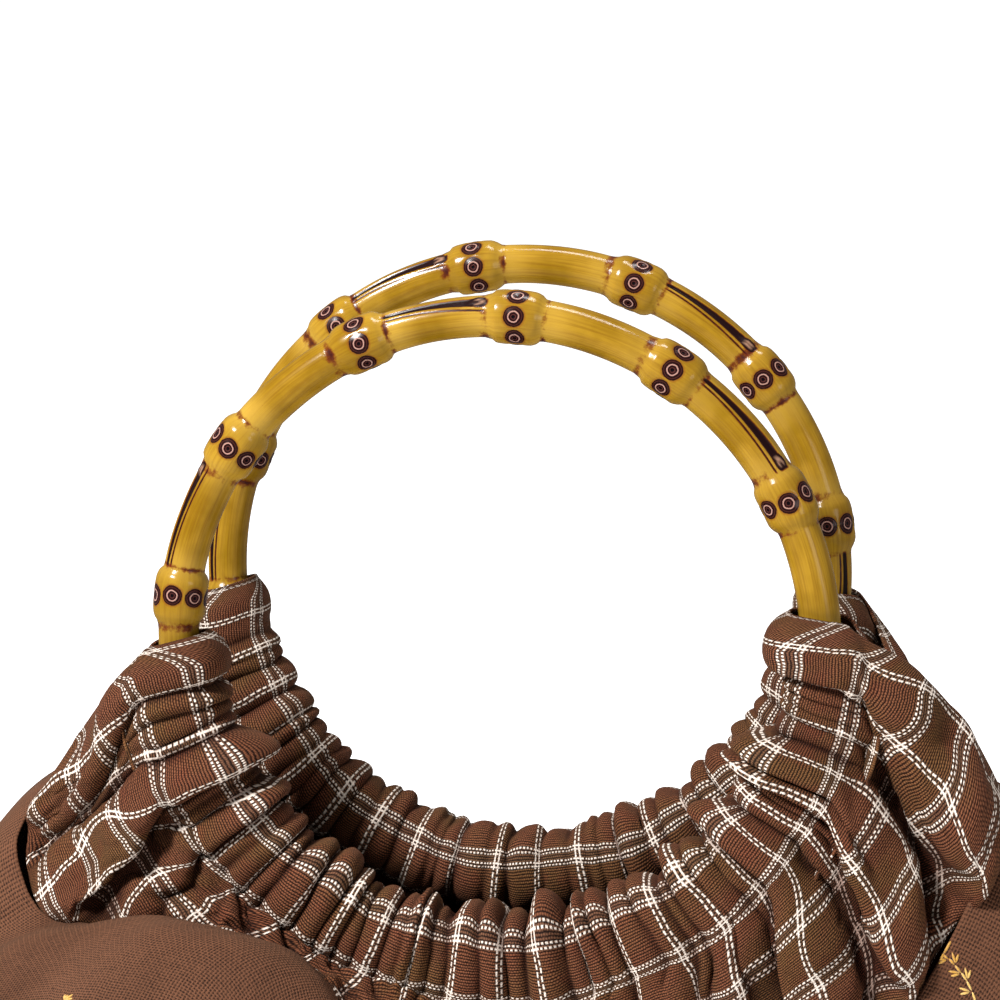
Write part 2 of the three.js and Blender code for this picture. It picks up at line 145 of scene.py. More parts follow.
# The folds of a yoke, along its sleeve. end: share of the sleeve; parts: how many ruffles it
# splits into round the cane; ruffle: their height, as a share of GATHER_HEIGHT; spread: how much
# the fold widens down the yoke, next to the others; fold: its height there in mm; valley: how
# deep the crease at its end lies there in mm
FRONT_FOLDS = (
    (0.058, 1, 0.35, 1.9, 8, -8.5), (0.108, 3, 0.65, 0.3, 2, -8.5), (0.15, 1, 1, 2.1, 15, -7),
    (0.17, 2, 0.6, 0.35, 2, -4.6), (0.2, 1, 0.9, 1.2, 9, -4), (0.245, 2, 0.9, 1.3, 10, -4.6),
    (0.262, 1, 0.6, 0.4, 2, -4), (0.292, 1, 0.9, 1.3, 8.6, -4), (0.335, 2, 0.9, 1.2, 9, -3.6),
    (0.352, 1, 0.6, 0.4, 2, -3.2), (0.382, 1, 0.95, 1.1, 7.4, -3.6), (0.425, 3, 0.7, 1.1, 7, -3.2),
    (0.443, 1, 0.6, 0.5, 2.4, -3.6), (0.5, 2, 1, 1.4, 10, -4.6), (0.522, 1, 0.6, 0.4, 2, -4),
    (0.562, 1, 1.05, 1.3, 9, -3.8), (0.61, 3, 0.7, 1, 7, -3.6), (0.66, 2, 0.9, 1.2, 9, -4.2),
    (0.676, 1, 0.6, 0.4, 2, -4.2), (0.735, 2, 0.8, 1.2, 10.6, -5), (0.757, 1, 0.6, 0.3, 2, -5.4),
    (0.8, 1, 1.2, 1.6, 14, -7.4), (0.832, 2, 0.6, 0.35, 2, -7), (0.878, 2, 1, 1.7, 16, -13),
    (0.94, 4, 0.75, 0.16, 1.5, -13), (1, 1, 0.4, 1.9, 15, -0.4),
)
BACK_FOLDS = (
    (0.06, 1, 0.35, 1.2, 3, -3.2), (0.1, 2, 0.7, 1, 6, -3.4), (0.135, 1, 0.9, 1, 6.4, -3.4),
    (0.185, 2, 1, 1.3, 8.6, -3.6), (0.207, 1, 0.7, 0.5, 2.4, -3.6), (0.25, 2, 0.9, 1.2, 7.8, -3.6),
    (0.285, 1, 1, 1.2, 8, -3.4), (0.306, 1, 0.6, 0.5, 2.4, -3.4), (0.35, 2, 0.9, 1.3, 8, -3.8),
    (0.4, 3, 0.75, 1.3, 7.4, -3.4), (0.418, 1, 0.6, 0.5, 2.2, -3.2), (0.475, 2, 1, 1.2, 8.4, -3.8),
    (0.52, 1, 1, 1.2, 7.8, -3.4), (0.545, 1, 0.6, 0.5, 2.2, -3.4), (0.61, 3, 0.8, 1.3, 8.6, -3.8),
    (0.645, 1, 0.9, 1, 7, -3.6), (0.7, 2, 0.95, 1.3, 8.6, -3.8), (0.722, 1, 0.6, 0.5, 2.6, -3.8),
    (0.78, 2, 1, 1.3, 9.4, -4.2), (0.84, 3, 0.85, 1.3, 9.4, -4.2), (0.862, 1, 0.7, 0.5, 2.6, -4.2),
    (0.93, 2, 0.8, 1.2, 8, -3.8), (1, 1, 0.4, 1.2, 5.4, -0.4),
)

# The two halves. inside: how high the ruffles stand on the ring's inner side; groove: 0 where the
# even joints of the cane are grooved, 1 where the odd ones are; knuckles: their ring angles
FRONT = {
    "name": "front", "side": -1, "ring_y": HANDLE_SETBACK - HANDLE_GAP / 2, "ring_z": HANDLE_HEIGHT,
    "sleeve": (182.0, 367.0), "folds": np.array(FRONT_FOLDS), "threads": THREADS, "inside": 1.0,
    "seed": 11, "groove": 0, "toward_viewer": 1,
    "knuckles": (28, 58, 87, 115, 145, 174, 204, 234, 264, 294, 326, 358),
}
BACK = {
    "name": "back", "side": 1, "ring_y": HANDLE_SETBACK + HANDLE_GAP / 2,
    "ring_z": HANDLE_HEIGHT + BACK_HANDLE_RISE,
    "sleeve": (185.0, 359.0), "folds": np.array(BACK_FOLDS), "threads": THREADS[[0, -1]],
    "inside": 0.5, "seed": 37, "groove": 1, "toward_viewer": -1,
    "knuckles": (10.9, 40.6, 69.9, 100.1, 128.8, 158.9, 189, 219, 249, 279, 310, 340.5),
}


# ---- Small tools

def smooth(x):
    x = np.clip(x, 0, 1)
    return x * x * (3 - 2 * x)


def mix(a, b, t):
    return a + (b - a) * t


def unit(v):
    return v / np.maximum(np.linalg.norm(v, axis=-1, keepdims=True), 1e-12)


def curve(at, v, x):
    """A smooth curve through the points (at, v), read off at x."""
    n = len(at)
    before, after = np.maximum(np.arange(n) - 1, 0), np.minimum(np.arange(n) + 1, n - 1)
    slope = (v[after] - v[before]) / (at[after] - at[before])
    x = np.clip(x, at[0], at[-1])
    i = np.clip(np.searchsorted(at, x, side="right") - 1, 0, n - 2)
    w = at[i + 1] - at[i]
    u = (x - at[i]) / w
    u2, u3 = u * u, u * u * u
    return ((2 * u3 - 3 * u2 + 1) * v[i] + (u3 - 2 * u2 + u) * w * slope[i]
            + (3 * u2 - 2 * u3) * v[i + 1] + (u3 - u2) * w * slope[i + 1])


def seam_value(column, x):
    return curve(SEAM[:, 0], SEAM[:, column], x)


def noise(x, y, seed):
    """Smooth seeded noise from -1 to 1, one cell per unit of x and y."""
    table = np.random.RandomState(seed).uniform(-1, 1, (64, 64))
    x, y = np.broadcast_arrays(np.asarray(x, float), np.asarray(y, float))
    xi, yi = np.floor(x).astype(int), np.floor(y).astype(int)
    fx, fy = smooth(x - xi), smooth(y - yi)
    a = mix(table[xi % 64, yi % 64], table[(xi + 1) % 64, yi % 64], fx)
    b = mix(table[xi % 64, (yi + 1) % 64], table[(xi + 1) % 64, (yi + 1) % 64], fx)
    return mix(a, b, fy)


# ---- The bag's shape

def at_ring(half, radius, angle, face):
    """A point in a ring's own plane; face is how far it stands off towards the bag's outside."""
    a = np.radians(angle)
    up = radius * np.sin(a)
    off = half["side"] * face
    return np.stack(np.broadcast_arrays(
        radius * np.cos(a),
        half["ring_y"] + off * math.cos(HANDLE_LEAN) + up * math.sin(HANDLE_LEAN),
        half["ring_z"] + up * math.cos(HANDLE_LEAN) - off * math.sin(HANDLE_LEAN)), -1)


def sleeve_angle(half, t):
    return mix(half["sleeve"][0], half["sleeve"][1], t)


def sideways(t):
    return -np.cos(np.pi * t)


def frontways(t):
    return np.sin(np.pi * t)


def fullness(t):
    return np.maximum(0, 1 - np.abs(2 * t - 1) ** 2.3) ** (1 / 2.3)


def sleeve_point(half, t, out, face):
    askew = out * HEM_SKEW * (1 - 2 * t) ** 5
    inner = mix(CANE_RADIUS, KNUCKLE_RADIUS, smooth(np.minimum(t, 1 - t) / SLEEVE_TAPER))
    radius = inner + CANE_CLEARANCE + CHECK_WALL / 2
    return at_ring(half, RING_RADIUS + out * radius, sleeve_angle(half, t) + askew, face * radius)


def seam_point(half, t):
    reach = RING_RADIUS + YOKE_REACH * seam_value(REACH, t)
    angle = np.radians(mix(SEAM_FAN[0], SEAM_FAN[1], seam_value(TURN, t)))
    wave = SEAM_WAVE * seam_value(WAVE, t)
    depth = SEAM_HALF_DEPTH * fullness(t) + wave * frontways(t)
    return np.stack(np.broadcast_arrays(
        reach * np.cos(angle) + wave * sideways(t) * 0.5,
        half["side"] * depth,
        HANDLE_HEIGHT + reach * np.sin(angle)), -1)


def yoke_point(half, t, down):
    t, down = np.broadcast_arrays(np.asarray(t, float), np.asarray(down, float))
    start = sleeve_point(half, t, SLEEVE_WRAP[-1][0], SLEEVE_WRAP[-1][1])
    seam = seam_point(half, t)
    pull = 0.55 * np.hypot(seam[..., 0] - start[..., 0], seam[..., 2] - start[..., 2])
    leaves = np.radians(sleeve_angle(half, t) + seam_value(DROOP, t) * np.where(t < 0.5, 1, -1))
    bend_x = start[..., 0] + pull * np.cos(leaves)
    bend_z = start[..., 2] + pull * np.sin(leaves)
    a, b, c = (1 - down) ** 2, 2 * down * (1 - down), down ** 2
    closing = np.abs(2 * t - 1) ** 6
    across = mix(np.sin(np.pi / 2 * down), smooth(down / SLIT_SHARE), closing)
    tuck = SEAM_TUCK * smooth((down - LAP_SHARE) / (1 - LAP_SHARE))
    return np.stack([
        a * start[..., 0] + b * bend_x + c * seam[..., 0] - tuck * sideways(t),
        mix(start[..., 1], seam[..., 1], across) - half["side"] * tuck * frontways(t),
        a * start[..., 2] + b * bend_z + c * seam[..., 2]], -1)


def yoke_outward(half, t, down):
    t = np.asarray(t, float)
    along = yoke_point(half, t, down + 0.02) - yoke_point(half, t, down - 0.02)
    across = (yoke_point(half, np.minimum(t + 0.01, 1), down)
              - yoke_point(half, np.maximum(t - 0.01, 0), down))
    return unit(np.cross(across, along)) * half["side"]


def base_point(half, t, inset):
    power = 2 / BASE_SQUARENESS
    s = sideways(t)
    return np.stack(np.broadcast_arrays(
        np.sign(s) * np.abs(s) ** power * (BASE_HALF_WIDTH - inset),
        half["side"] * np.maximum(0, frontways(t)) ** power * (BASE_HALF_DEPTH - inset),
        0 * s), -1)


def linen_point(half, t, down):
    t, down = np.broadcast_arrays(np.asarray(t, float), np.asarray(down, float))
    puff = seam_value(PUFF, t)
    clear = (CHECK_WALL + LINEN_WALL) / 2 + LAP_GAP
    out_x, out_y = sideways(t), half["side"] * frontways(t)
    start = yoke_point(half, t, LAP_SHARE) + yoke_outward(half, t, LAP_SHARE - 0.02) * clear
    foot = base_point(half, t, 0)
    shoulder = start + np.stack([
        out_x * (SIDE_BULGE + puff * PUFF_OUT), out_y * (FRONT_BULGE + puff * PUFF_OUT),
        puff * PUFF_UP - np.abs(out_x) * SIDE_DROP], -1)
    hip = foot + np.stack([
        out_x * LOW_SIDE_BULGE, out_y * LOW_FRONT_BULGE, LOW_RISE + 0 * out_x], -1)
    d = down[..., None]
    p = ((1 - d) ** 3 * start + 3 * d * (1 - d) ** 2 * shoulder
         + 3 * d * d * (1 - d) * hip + d ** 3 * foot)
    fold = 0
    for at, width, depth, end in LINEN_FOLDS:
        fade = np.maximum(0, 1 - down / end) * smooth(down / 0.12)
        fold = fold + LINEN_FOLD * depth * np.exp(-((t - at) / width) ** 2) * fade
    return p + np.stack([out_x * fold, out_y * fold, 0 * fold], -1)


# ---- Meshes

def new_object(name, points_mm, faces, material):
    mesh = bpy.data.meshes.new(name)
    points = np.asarray(points_mm, float).reshape(-1, 3) * MM
    faces = np.asarray(faces, np.int32)
    mesh.vertices.add(len(points))
    mesh.vertices.foreach_set("co", points.ravel())
    mesh.loops.add(faces.size)
    mesh.loops.foreach_set("vertex_index", faces.ravel())
    mesh.polygons.add(len(faces))
    starts = np.arange(0, faces.size, faces.shape[1], dtype=np.int32)
    mesh.polygons.foreach_set("loop_start", starts)
    mesh.polygons.foreach_set("use_smooth", np.ones(len(faces), bool))
    mesh.update(calc_edges=True)
    mesh.validate()
    if material:
        mesh.materials.append(material)
    obj = bpy.data.objects.new(name, mesh)
    bpy.context.scene.collection.objects.link(obj)
    return obj


def set_uv(obj, name, per_loop):
    layer = obj.data.uv_layers.new(name=name)
    layer.data.foreach_set("uv", np.asarray(per_loop, np.float32).ravel())


def outward_of(half, grid):
    across = np.empty_like(grid)
    down = np.empty_like(grid)
    across[1:-1] = grid[2:] - grid[:-2]
    across[0], across[-1] = grid[1] - grid[0], grid[-1] - grid[-2]
    down[:, 1:-1] = grid[:, 2:] - grid[:, :-2]
    down[:, 0], down[:, -1] = grid[:, 1] - grid[:, 0], grid[:, -1] - grid[:, -2]
    return unit(np.cross(across, down)) * half["side"]


def from_side(t):
    """How far each column lies from the nearer side of the bag, as a column of shares."""
    return np.minimum(t, 1 - t)[:, None]


def own_side(half, points):
    """Keeps points on their own half's side of the bag."""
    points[..., 1] = half["side"] * np.maximum(points[..., 1] * half["side"], SIDE_CLEAR)


def grid_faces(columns, rows, flip):
    i, j = np.meshgrid(np.arange(columns - 1), np.arange(rows - 1), indexing="ij")
    a = (i * rows + j).ravel()
    corners = np.stack([a, a + rows, a + rows + 1, a + 1], 1)
    return corners[:, ::-1] if flip else corners


def border(columns, rows):
    """The points of a grid that run round its edge."""
    return np.concatenate([
        np.arange(columns) * rows,
        (columns - 1) * rows + np.arange(1, rows),
        (np.arange(columns - 2, -1, -1)) * rows + rows - 1,
        np.arange(rows - 2, 0, -1)])


def tube_faces(sections, sides, first=0):
    """Quads between neighbouring sections of a tube, each of which is a ring of points."""
    i, j = np.meshgrid(np.arange(sections - 1), np.arange(sides), indexing="ij")
    j1 = (j + 1) % sides
    corners = [i * sides + j, (i + 1) * sides + j, (i + 1) * sides + j1, i * sides + j1]
    return first + np.stack(corners, -1).reshape(-1, 4)


def cloth_object(name, half, grid, thickness, uv, material):
    """A sheet with two skins and rounded edges. grid is (columns, rows, 3) in mm."""
    columns, rows = grid.shape[:2]
    normal = outward_of(half, grid)
    skins = [grid + normal * thickness / 2, grid - normal * thickness / 2]
    for skin in skins:
        own_side(half, skin)
    count = columns * rows
    # One line of points stands out in the middle of the border.
    ring = border(columns, rows)
    inner = np.clip(ring // rows, 1, columns - 2) * rows + np.clip(ring % rows, 1, rows - 2)
    flat = grid.reshape(-1, 3)
    edge = flat[ring] + unit(flat[ring] - flat[inner]) * thickness * EDGE_ROUND
    own_side(half, edge)
    points = np.concatenate([skins[0].reshape(-1, 3), skins[1].reshape(-1, 3), edge])
    front = half["side"] < 0
    faces = [grid_faces(columns, rows, front), grid_faces(columns, rows, not front) + count]
    n = len(ring)
    k = np.arange(n)
    middle, after = 2 * count + k, 2 * count + (k + 1) % n
    a, b = ring, ring[(k + 1) % n]
    strips = [np.stack([a, b, after, middle], 1),
              np.stack([middle, after, b + count, a + count], 1)]
    faces += [s if not front else s[:, ::-1] for s in strips]
    faces = np.concatenate(faces)
    obj = new_object(name, points, faces, material)
    flat_uv = uv.reshape(-1, 2)
    all_uv = np.concatenate([flat_uv, flat_uv, flat_uv[ring]])
    set_uv(obj, "Cloth", all_uv[faces.ravel()])
    return obj


def crease_depth(grid, normal, reach):
    """How far each point lies below the cloth round it, in mm, looked at over reach columns."""
    weights = np.exp(-0.5 * (np.arange(-2 * reach, 2 * reach + 1) / reach) ** 2)
    wide = np.pad(grid, ((2 * reach, 2 * reach), (0, 0), (0, 0)), mode="edge")
    around = sum(w * wide[k:k + len(grid)] for k, w in enumerate(weights / weights.sum()))
    return ((around - grid) * normal).sum(axis=-1)


def set_marks(obj, name, *channels):
    """Stores up to four values for each point as a colour."""
    layer = obj.data.color_attributes.new(name=name, type="FLOAT_COLOR", domain="POINT")
    marks = np.stack(np.broadcast_arrays(*channels), -1)
    layer.data.foreach_set("color", marks.astype(np.float32).ravel())


# Creases, where shade is painted into the cotton, are looked for over this many columns, and are
# full at this depth in mm
CREASE_SIZES = ((5, 1.3), (14, 4.5))


def mark_crease_shade(obj, grid, half):
    """Stores how deep in a crease each point lies, from 0 to 1, on both skins and the edge, for
    painted shade.
    """
    normal = soften(outward_of(half, grid), 3)
    deep = np.maximum(*[smooth(crease_depth(grid, normal, reach) / depth)
                        for reach, depth in CREASE_SIZES]).ravel()
    deep = np.concatenate([deep, deep, deep[border(*grid.shape[:2])]])
    set_marks(obj, "CreaseShade", deep, deep, deep, np.ones_like(deep))


def recalculate(obj):
    """Turns every face outwards."""
    work = bmesh.new()
    work.from_mesh(obj.data)
    bmesh.ops.recalc_face_normals(work, faces=work.faces)
    work.to_mesh(obj.data)
    work.free()


# ---- Materials

class Nodes:
    """A short way to write a shader as sums."""

    def __init__(self, name):
        self.material = bpy.data.materials.new(name)
        self.material.use_nodes = True
        self.tree = self.material.node_tree
        self.shader = self.tree.nodes["Principled BSDF"]

    def node(self, kind, **settings):
        made = self.tree.nodes.new(kind)
        for key, value in settings.items():
            setattr(made, key, value)
        return made

    def put(self, socket, value):
        if isinstance(value, bpy.types.NodeSocket):
            self.tree.links.new(value, socket)
        else:
            socket.default_value = rgb(value) if isinstance(value, str) else value

    def sum(self, operation, *values, clamp=False):
        made = self.node("ShaderNodeMath", operation=operation, use_clamp=clamp)
        for socket, value in zip(made.inputs, values):
            self.put(socket, value)
        return made.outputs[0]

    def mul(self, a, b):
        return self.sum("MULTIPLY", a, b)

    def add(self, a, b, clamp=False):
        return self.sum("ADD", a, b, clamp=clamp)

    def less(self, a, b):
        return self.sum("SUBTRACT", a, b)

    def line(self, x, slope, start):
        return self.sum("MULTIPLY_ADD", x, slope, start)

    def most(self, a, b):
        return self.sum("MAXIMUM", a, b)

    def constants(self, **values):
        """Sets plain values of the shader, with the sockets' spaces written as _."""
        for key, value in values.items():
            self.put(self.shader.inputs[key.replace("_", " ")], value)

    def ramp(self, value, low, high, to_low=0.0, to_high=1.0):
        made = self.node("ShaderNodeMapRange", interpolation_type="SMOOTHSTEP")
        for socket, item in zip(made.inputs, (value, low, high, to_low, to_high)):
            self.put(socket, item)
        return made.outputs[0]

    def blend(self, share, a, b, kind="MIX"):
        made = self.node("ShaderNodeMix", data_type="RGBA", blend_type=kind)
        self.put(made.inputs[0], share)
        self.put(made.inputs[6], a)
        self.put(made.inputs[7], b)
        return made.outputs[2]

    def noise(self, where, scale, detail=2.0, rough=0.5, stretch=(1, 1, 1)):
        made = self.node("ShaderNodeTexNoise")
        placed = self.node("ShaderNodeVectorMath", operation="MULTIPLY")
        self.put(placed.inputs[0], where)
        placed.inputs[1].default_value = stretch
        self.put(made.inputs["Vector"], placed.outputs[0])
        made.inputs["Scale"].default_value = scale
        made.inputs["Detail"].default_value = detail
        made.inputs["Roughness"].default_value = rough
        return made.outputs["Fac"]

    def uv(self, name):
        where = self.node("ShaderNodeUVMap", uv_map=name).outputs[0]
        split = self.node("ShaderNodeSeparateXYZ")
        self.put(split.inputs[0], where)
        return where, split.outputs[0], split.outputs[1]

    def wave(self, x, period, phase=0.0):
        """0 to 1 and back over one period."""
        angle = self.line(x, 2 * math.pi / period, phase)
        return self.line(self.sum("SINE", angle), 0.5, 0.5)

    def finish(self, color, roughness, height, bump_mm, strength=1.0):
        self.put(self.shader.inputs["Base Color"], color)
        self.put(self.shader.inputs["Roughness"], roughness)
        bump = self.node("ShaderNodeBump")
        bump.inputs["Strength"].default_value = strength
        bump.inputs["Distance"].default_value = bump_mm * MM
        self.put(bump.inputs["Height"], height)
        self.put(self.shader.inputs["Normal"], bump.outputs[0])
        return self.material


def rgb(text):
    """A colour as seen on a screen, turned to linear light."""
    parts = [int(text[i:i + 2], 16) / 255 for i in (0, 2, 4)]
    linear = [c / 12.92 if c <= 0.04045 else ((c + 0.055) / 1.055) ** 2.4 for c in parts]
    return (*linear, 1.0)


CHECK_PITCH = 16.0
# Rows of dashes of one stripe from its middle, half a dash's width, the dashes' period and half
# their share of it, and half the stripe's width, in mm
DOWN_STRIPE = ((-0.66, 0.66), 0.26, 1.7, 0.33, 1.25)
CROSS_STRIPE = ((-2.08, -1.16, 1.16, 2.08), 0.22, 1.22, 0.27, 2.6)


def from_stripe(n, across, start):
    """How far a point lies from the middle of the nearest stripe, in mm."""
    cell = n.sum("FRACT", n.line(across, 1 / CHECK_PITCH, start))
    return n.mul(n.less(cell, 0.5), CHECK_PITCH)


def check_lines(n, off, along, stripe, crossing):
    """The broken white lines that run along one way of the cloth, unbroken where stripes cross."""
    rows, half_width, period, share, _ = stripe
    beat = n.mul(along, 1 / period)
    lines = None
    for k, row in enumerate(rows):
        away = n.sum("ABSOLUTE", n.less(off, row))
        line = n.ramp(away, half_width + 0.1, half_width - 0.1)
        step = n.sum("ABSOLUTE", n.less(n.sum("FRACT", n.add(beat, 0.5 * (k % 2))), 0.5))
        dash = n.most(n.ramp(step, share + 0.08, share - 0.05), n.mul(crossing, 0.8))
        line = n.mul(line, dash)
        lines = line if lines is None else n.most(lines, line)
    return lines


def checked_cotton():
    n = Nodes("checked_cotton")
    where, u0, v0 = n.uv("Cloth")
    wander = n.less(n.noise(where, 0.09, 2.0), 0.5)
    fuzz = n.less(n.noise(where, 1.3, 2.0), 0.5)
    u = n.line(fuzz, 0.22, n.line(wander, 1.4, u0))
    v = n.line(fuzz, -0.22, n.line(wander, -1.4, v0))
    off_u, off_v = from_stripe(n, u, 0.15), from_stripe(n, v, 0.3)
    in_down = n.ramp(n.sum("ABSOLUTE", off_u), DOWN_STRIPE[4] + 0.1, DOWN_STRIPE[4] - 0.1)
    in_cross = n.ramp(n.sum("ABSOLUTE", off_v), CROSS_STRIPE[4] + 0.1, CROSS_STRIPE[4] - 0.1)
    white = n.most(check_lines(n, off_u, v, DOWN_STRIPE, in_cross),
                  check_lines(n, off_v, u, CROSS_STRIPE, in_down))
    # A plain weave: light threads come up in short ticks, set off by half a tick from rib to rib
    rib_at = n.mul(n.line(n.noise(where, 0.8, 2.0), 0.3, v), 1 / 0.66)
    rib = n.line(n.sum("COSINE", n.mul(rib_at, 2 * math.pi)), -0.5, 0.5)
    odd = n.mul(n.sum("FLOOR", rib_at), 0.5)
    tick_at = n.add(n.mul(u, 1 / 0.74), odd)
    tick = n.line(n.sum("COSINE", n.mul(tick_at, 2 * math.pi)), -0.5, 0.5)
    grain = n.noise(where, 2.2, 3.0, 0.65)
    weave = n.mul(rib, n.line(tick, 0.65, 0.35))
    light = n.add(n.mul(weave, 1.3), n.line(grain, 1.3, -0.68), clamp=True)
    ground = n.blend(light, "140502", "7a4a32")
    patch = n.noise(where, 0.05, 3.0)
    ground = n.blend(n.ramp(patch, 0.4, 0.7), ground, n.blend(light, "140802", "744f2e"))
    red = n.noise(where, 0.16, 2.0)
    ground = n.blend(n.mul(n.ramp(red, 0.5, 0.75), 0.4), ground, n.blend(light, "200503", "7c402b"))
    stripe = n.most(in_down, in_cross)
    ground = n.blend(n.mul(stripe, 0.45), ground, n.blend(light, "17110d", "5c4a3a"))
    thread = n.blend(n.noise(where, 2.5, 2.0), "bcab9c", "fdf0e4")
    color = n.blend(white, ground, thread)
    # Painted shade: deep in a crease the colour is darkened, up to 0.8 of the way to itself
    # multiplied by 7a5648
    crease = n.node("ShaderNodeVertexColor", layer_name="CreaseShade").outputs[0]
    color = n.blend(n.mul(crease, 0.8), color, n.blend(1.0, color, "7a5648", "MULTIPLY"))
    height = n.add(n.mul(weave, 0.6), n.mul(white, 0.7))
    height = n.add(height, n.mul(grain, 0.3))
    rough = n.line(grain, 0.15, 0.8)
    n.constants(Sheen_Weight=0.1, Sheen_Roughness=0.4, Sheen_Tint="907058", Specular_IOR_Level=0.12)
    return n.finish(color, rough, height, 0.28)


def plain_linen():
    n = Nodes("linen")
    where, u, v = n.uv("Cloth")
    slub_u = n.noise(where, 1.0, 3.0, 0.6, (2.6, 0.16, 1))
    slub_v = n.noise(where, 1.0, 3.0, 0.6, (0.16, 2.6, 1))
    over = n.sum("GREATER_THAN", n.mul(n.less(n.wave(u, 1.8), 0.5),
                                       n.less(n.wave(v, 1.6), 0.5)), 0.0)
    warp = n.mul(n.wave(u, 0.9), slub_u)
    weft = n.mul(n.wave(v, 0.8), slub_v)
    weave = n.add(n.mul(warp, n.line(over, 0.6, 0.7)),
                  n.mul(weft, n.line(over, -0.6, 1.3)))
    light = n.ramp(n.add(weave, n.mul(n.add(slub_u, slub_v), 0.5)), 0.42, 1.2)
    color = n.blend(light, "180803", "694430")
    patch = n.noise(where, 0.03, 3.0)
    color = n.blend(n.ramp(patch, 0.3, 0.75), color, n.blend(0.3, color, "3a2216"))
    fleck = n.ramp(n.noise(where, 1.6, 4.0, 0.7), 0.68, 0.8)
    color = n.blend(n.mul(fleck, 0.35), color, "917159")
    rough = n.line(light, 0.15, 0.8)
    n.constants(Sheen_Weight=0.12, Sheen_Roughness=0.5, Sheen_Tint="a08468",
                Specular_IOR_Level=0.15)
    return n.finish(color, rough, weave, 0.28)


def eye_colours(n):
    """The colours of an eye, and how much of the cane it and its burnt edge hide."""
    where, x, y = n.uv("Eye")
    off = n.sum("SQRT", n.add(n.mul(x, x), n.mul(y, y)))
    off = n.line(n.less(n.noise(where, 0.55, 3.0), 0.5), 0.5, off)
    dark = n.blend(n.noise(where, 1.2, 2.0), "0c0204", "2a0b0c")
    color = n.blend(n.ramp(off, 0.5, 0.35), dark, "080205")
    for start, end, strength, tone in EYE_RINGS:
        ring = n.mul(n.ramp(off, start - 0.08, start + 0.08), n.ramp(off, end + 0.08, end - 0.08))
        color = n.blend(n.mul(ring, strength), color, tone)
    return color, n.ramp(off, 2.78, 2.6), n.mul(n.ramp(off, 3.4, 2.7), 0.6)


# Light rings of an eye: where each starts and ends in mm, how strong it is and its colour
EYE_RINGS = ((1.2, 1.5, 0.75, "b58a7c"), (0.52, 0.7, 0.4, "6a3a34"), (2.1, 2.24, 0.3, "6e3e30"))


def bamboo():
    n = Nodes("bamboo")
    where, u, v = n.uv("Cane")
    vertex = n.node("ShaderNodeVertexColor", layer_name="Marks")
    split = n.node("ShaderNodeSeparateColor")
    n.put(split.inputs[0], vertex.outputs[0])
    groove, scar, shade = split.outputs[0], split.outputs[1], split.outputs[2]
    bud = vertex.outputs[1]
    fibre = n.noise(where, 1.0, 4.0, 0.6, (0.05, 1.6, 1))
    cloud = n.noise(where, 0.07, 3.0)
    color = n.blend(n.ramp(cloud, 0.3, 0.7), "7a5a0a", "98741e")
    color = n.blend(n.ramp(fibre, 0.35, 0.75), color, n.blend(0.55, color, "633c06"))
    color = n.blend(n.mul(shade, 0.5), color, "ba9640")
    speck = n.ramp(n.noise(where, 1.5, 2.0), 0.72, 0.78)
    color = n.blend(n.mul(speck, 0.45), color, "70401a")
    ragged = n.noise(where, 0.55, 4.0, 0.65)
    burn = n.ramp(n.add(scar, n.line(ragged, 1.2, -0.6)), 0.22, 0.62)
    color = n.blend(n.mul(burn, 0.85), color, "5a1d0c")
    char = n.ramp(n.add(scar, n.line(ragged, 0.9, -0.45)), 0.5, 0.8)
    color = n.blend(n.mul(char, 0.9), color, "30090a")
    cut = n.add(groove, n.line(ragged, 0.3, -0.15))
    color = n.blend(n.mul(n.ramp(cut, 0.15, 0.4), 0.85), color, "5a1c08")
    core = n.ramp(cut, 0.4, 0.6)
    color = n.blend(core, color, "160304")
    color = n.blend(n.mul(bud, 0.75), color, "a67e66")
    eye, cover, halo = eye_colours(n)
    color = n.blend(halo, color, "703a14")
    color = n.blend(cover, color, eye)
    dull = n.most(n.most(core, char), n.mul(cover, 0.4))
    rough = n.line(dull, 0.14, 0.17)
    n.constants(Coat_Weight=0.05, Coat_Roughness=0.07, Specular_IOR_Level=0.22)
    height = n.add(n.mul(fibre, 0.25), n.mul(burn, -0.4))
    return n.finish(color, rough, height, 0.12)


# ---- Handles

KNUCKLES = 12
JOINT_STEPS = 46
ROUND_STEPS = 118
SHAFT_RADIUS = 5.3  # the cane between its knuckles
MEAN_RADIUS = 5.8  # for the way round the cane in the UVs
EYE_COUNT = 7
EYE_SPACING = 360 / EYE_COUNT
EYE_START = 34  # degrees round the cane
EYE_RADIUS = 6.8  # of the cane, where the eyes are
EYE_REACH = 6  # how far from the middle of a knuckle they go
NO_EYE = 9.0  # UV of a face that has none
GROOVE_TURN = 42  # degrees round the cane
GROOVE_RADIUS = 5.6  # of the cane, where the grooves are
BUD_AT = 9.4  # from the middle of a knuckle, in its groove


def knuckle_swell(away):
    """How far the cane swells at a signed distance in mm from the middle of a knuckle."""
    body = np.where(away > 0, smooth((8.8 - away) / 4.4), smooth((7.9 + away) / 3.8))
    lip = 0.1 * np.exp(-((np.abs(away) - 5.8) / 0.6) ** 2)
    crack = -0.24 * np.exp(-((np.abs(away) - 6.5) / 0.35) ** 2)
    crown = 0.4 * np.maximum(0, 1 - (away / 6.5) ** 2)
    return 1.3 * body + crown + lip + crack


def eye_relief(off):
    rim = -0.16 * np.exp(-((off - 2.65) / 0.25) ** 2)
    ridge = 0.14 * np.exp(-((off - 1.35) / 0.35) ** 2)
    dish = -0.12 * smooth((2.65 - off) / 0.8)
    pit = -0.2 * np.exp(-(off / 0.45) ** 2)
    return rim + ridge + dish + pit


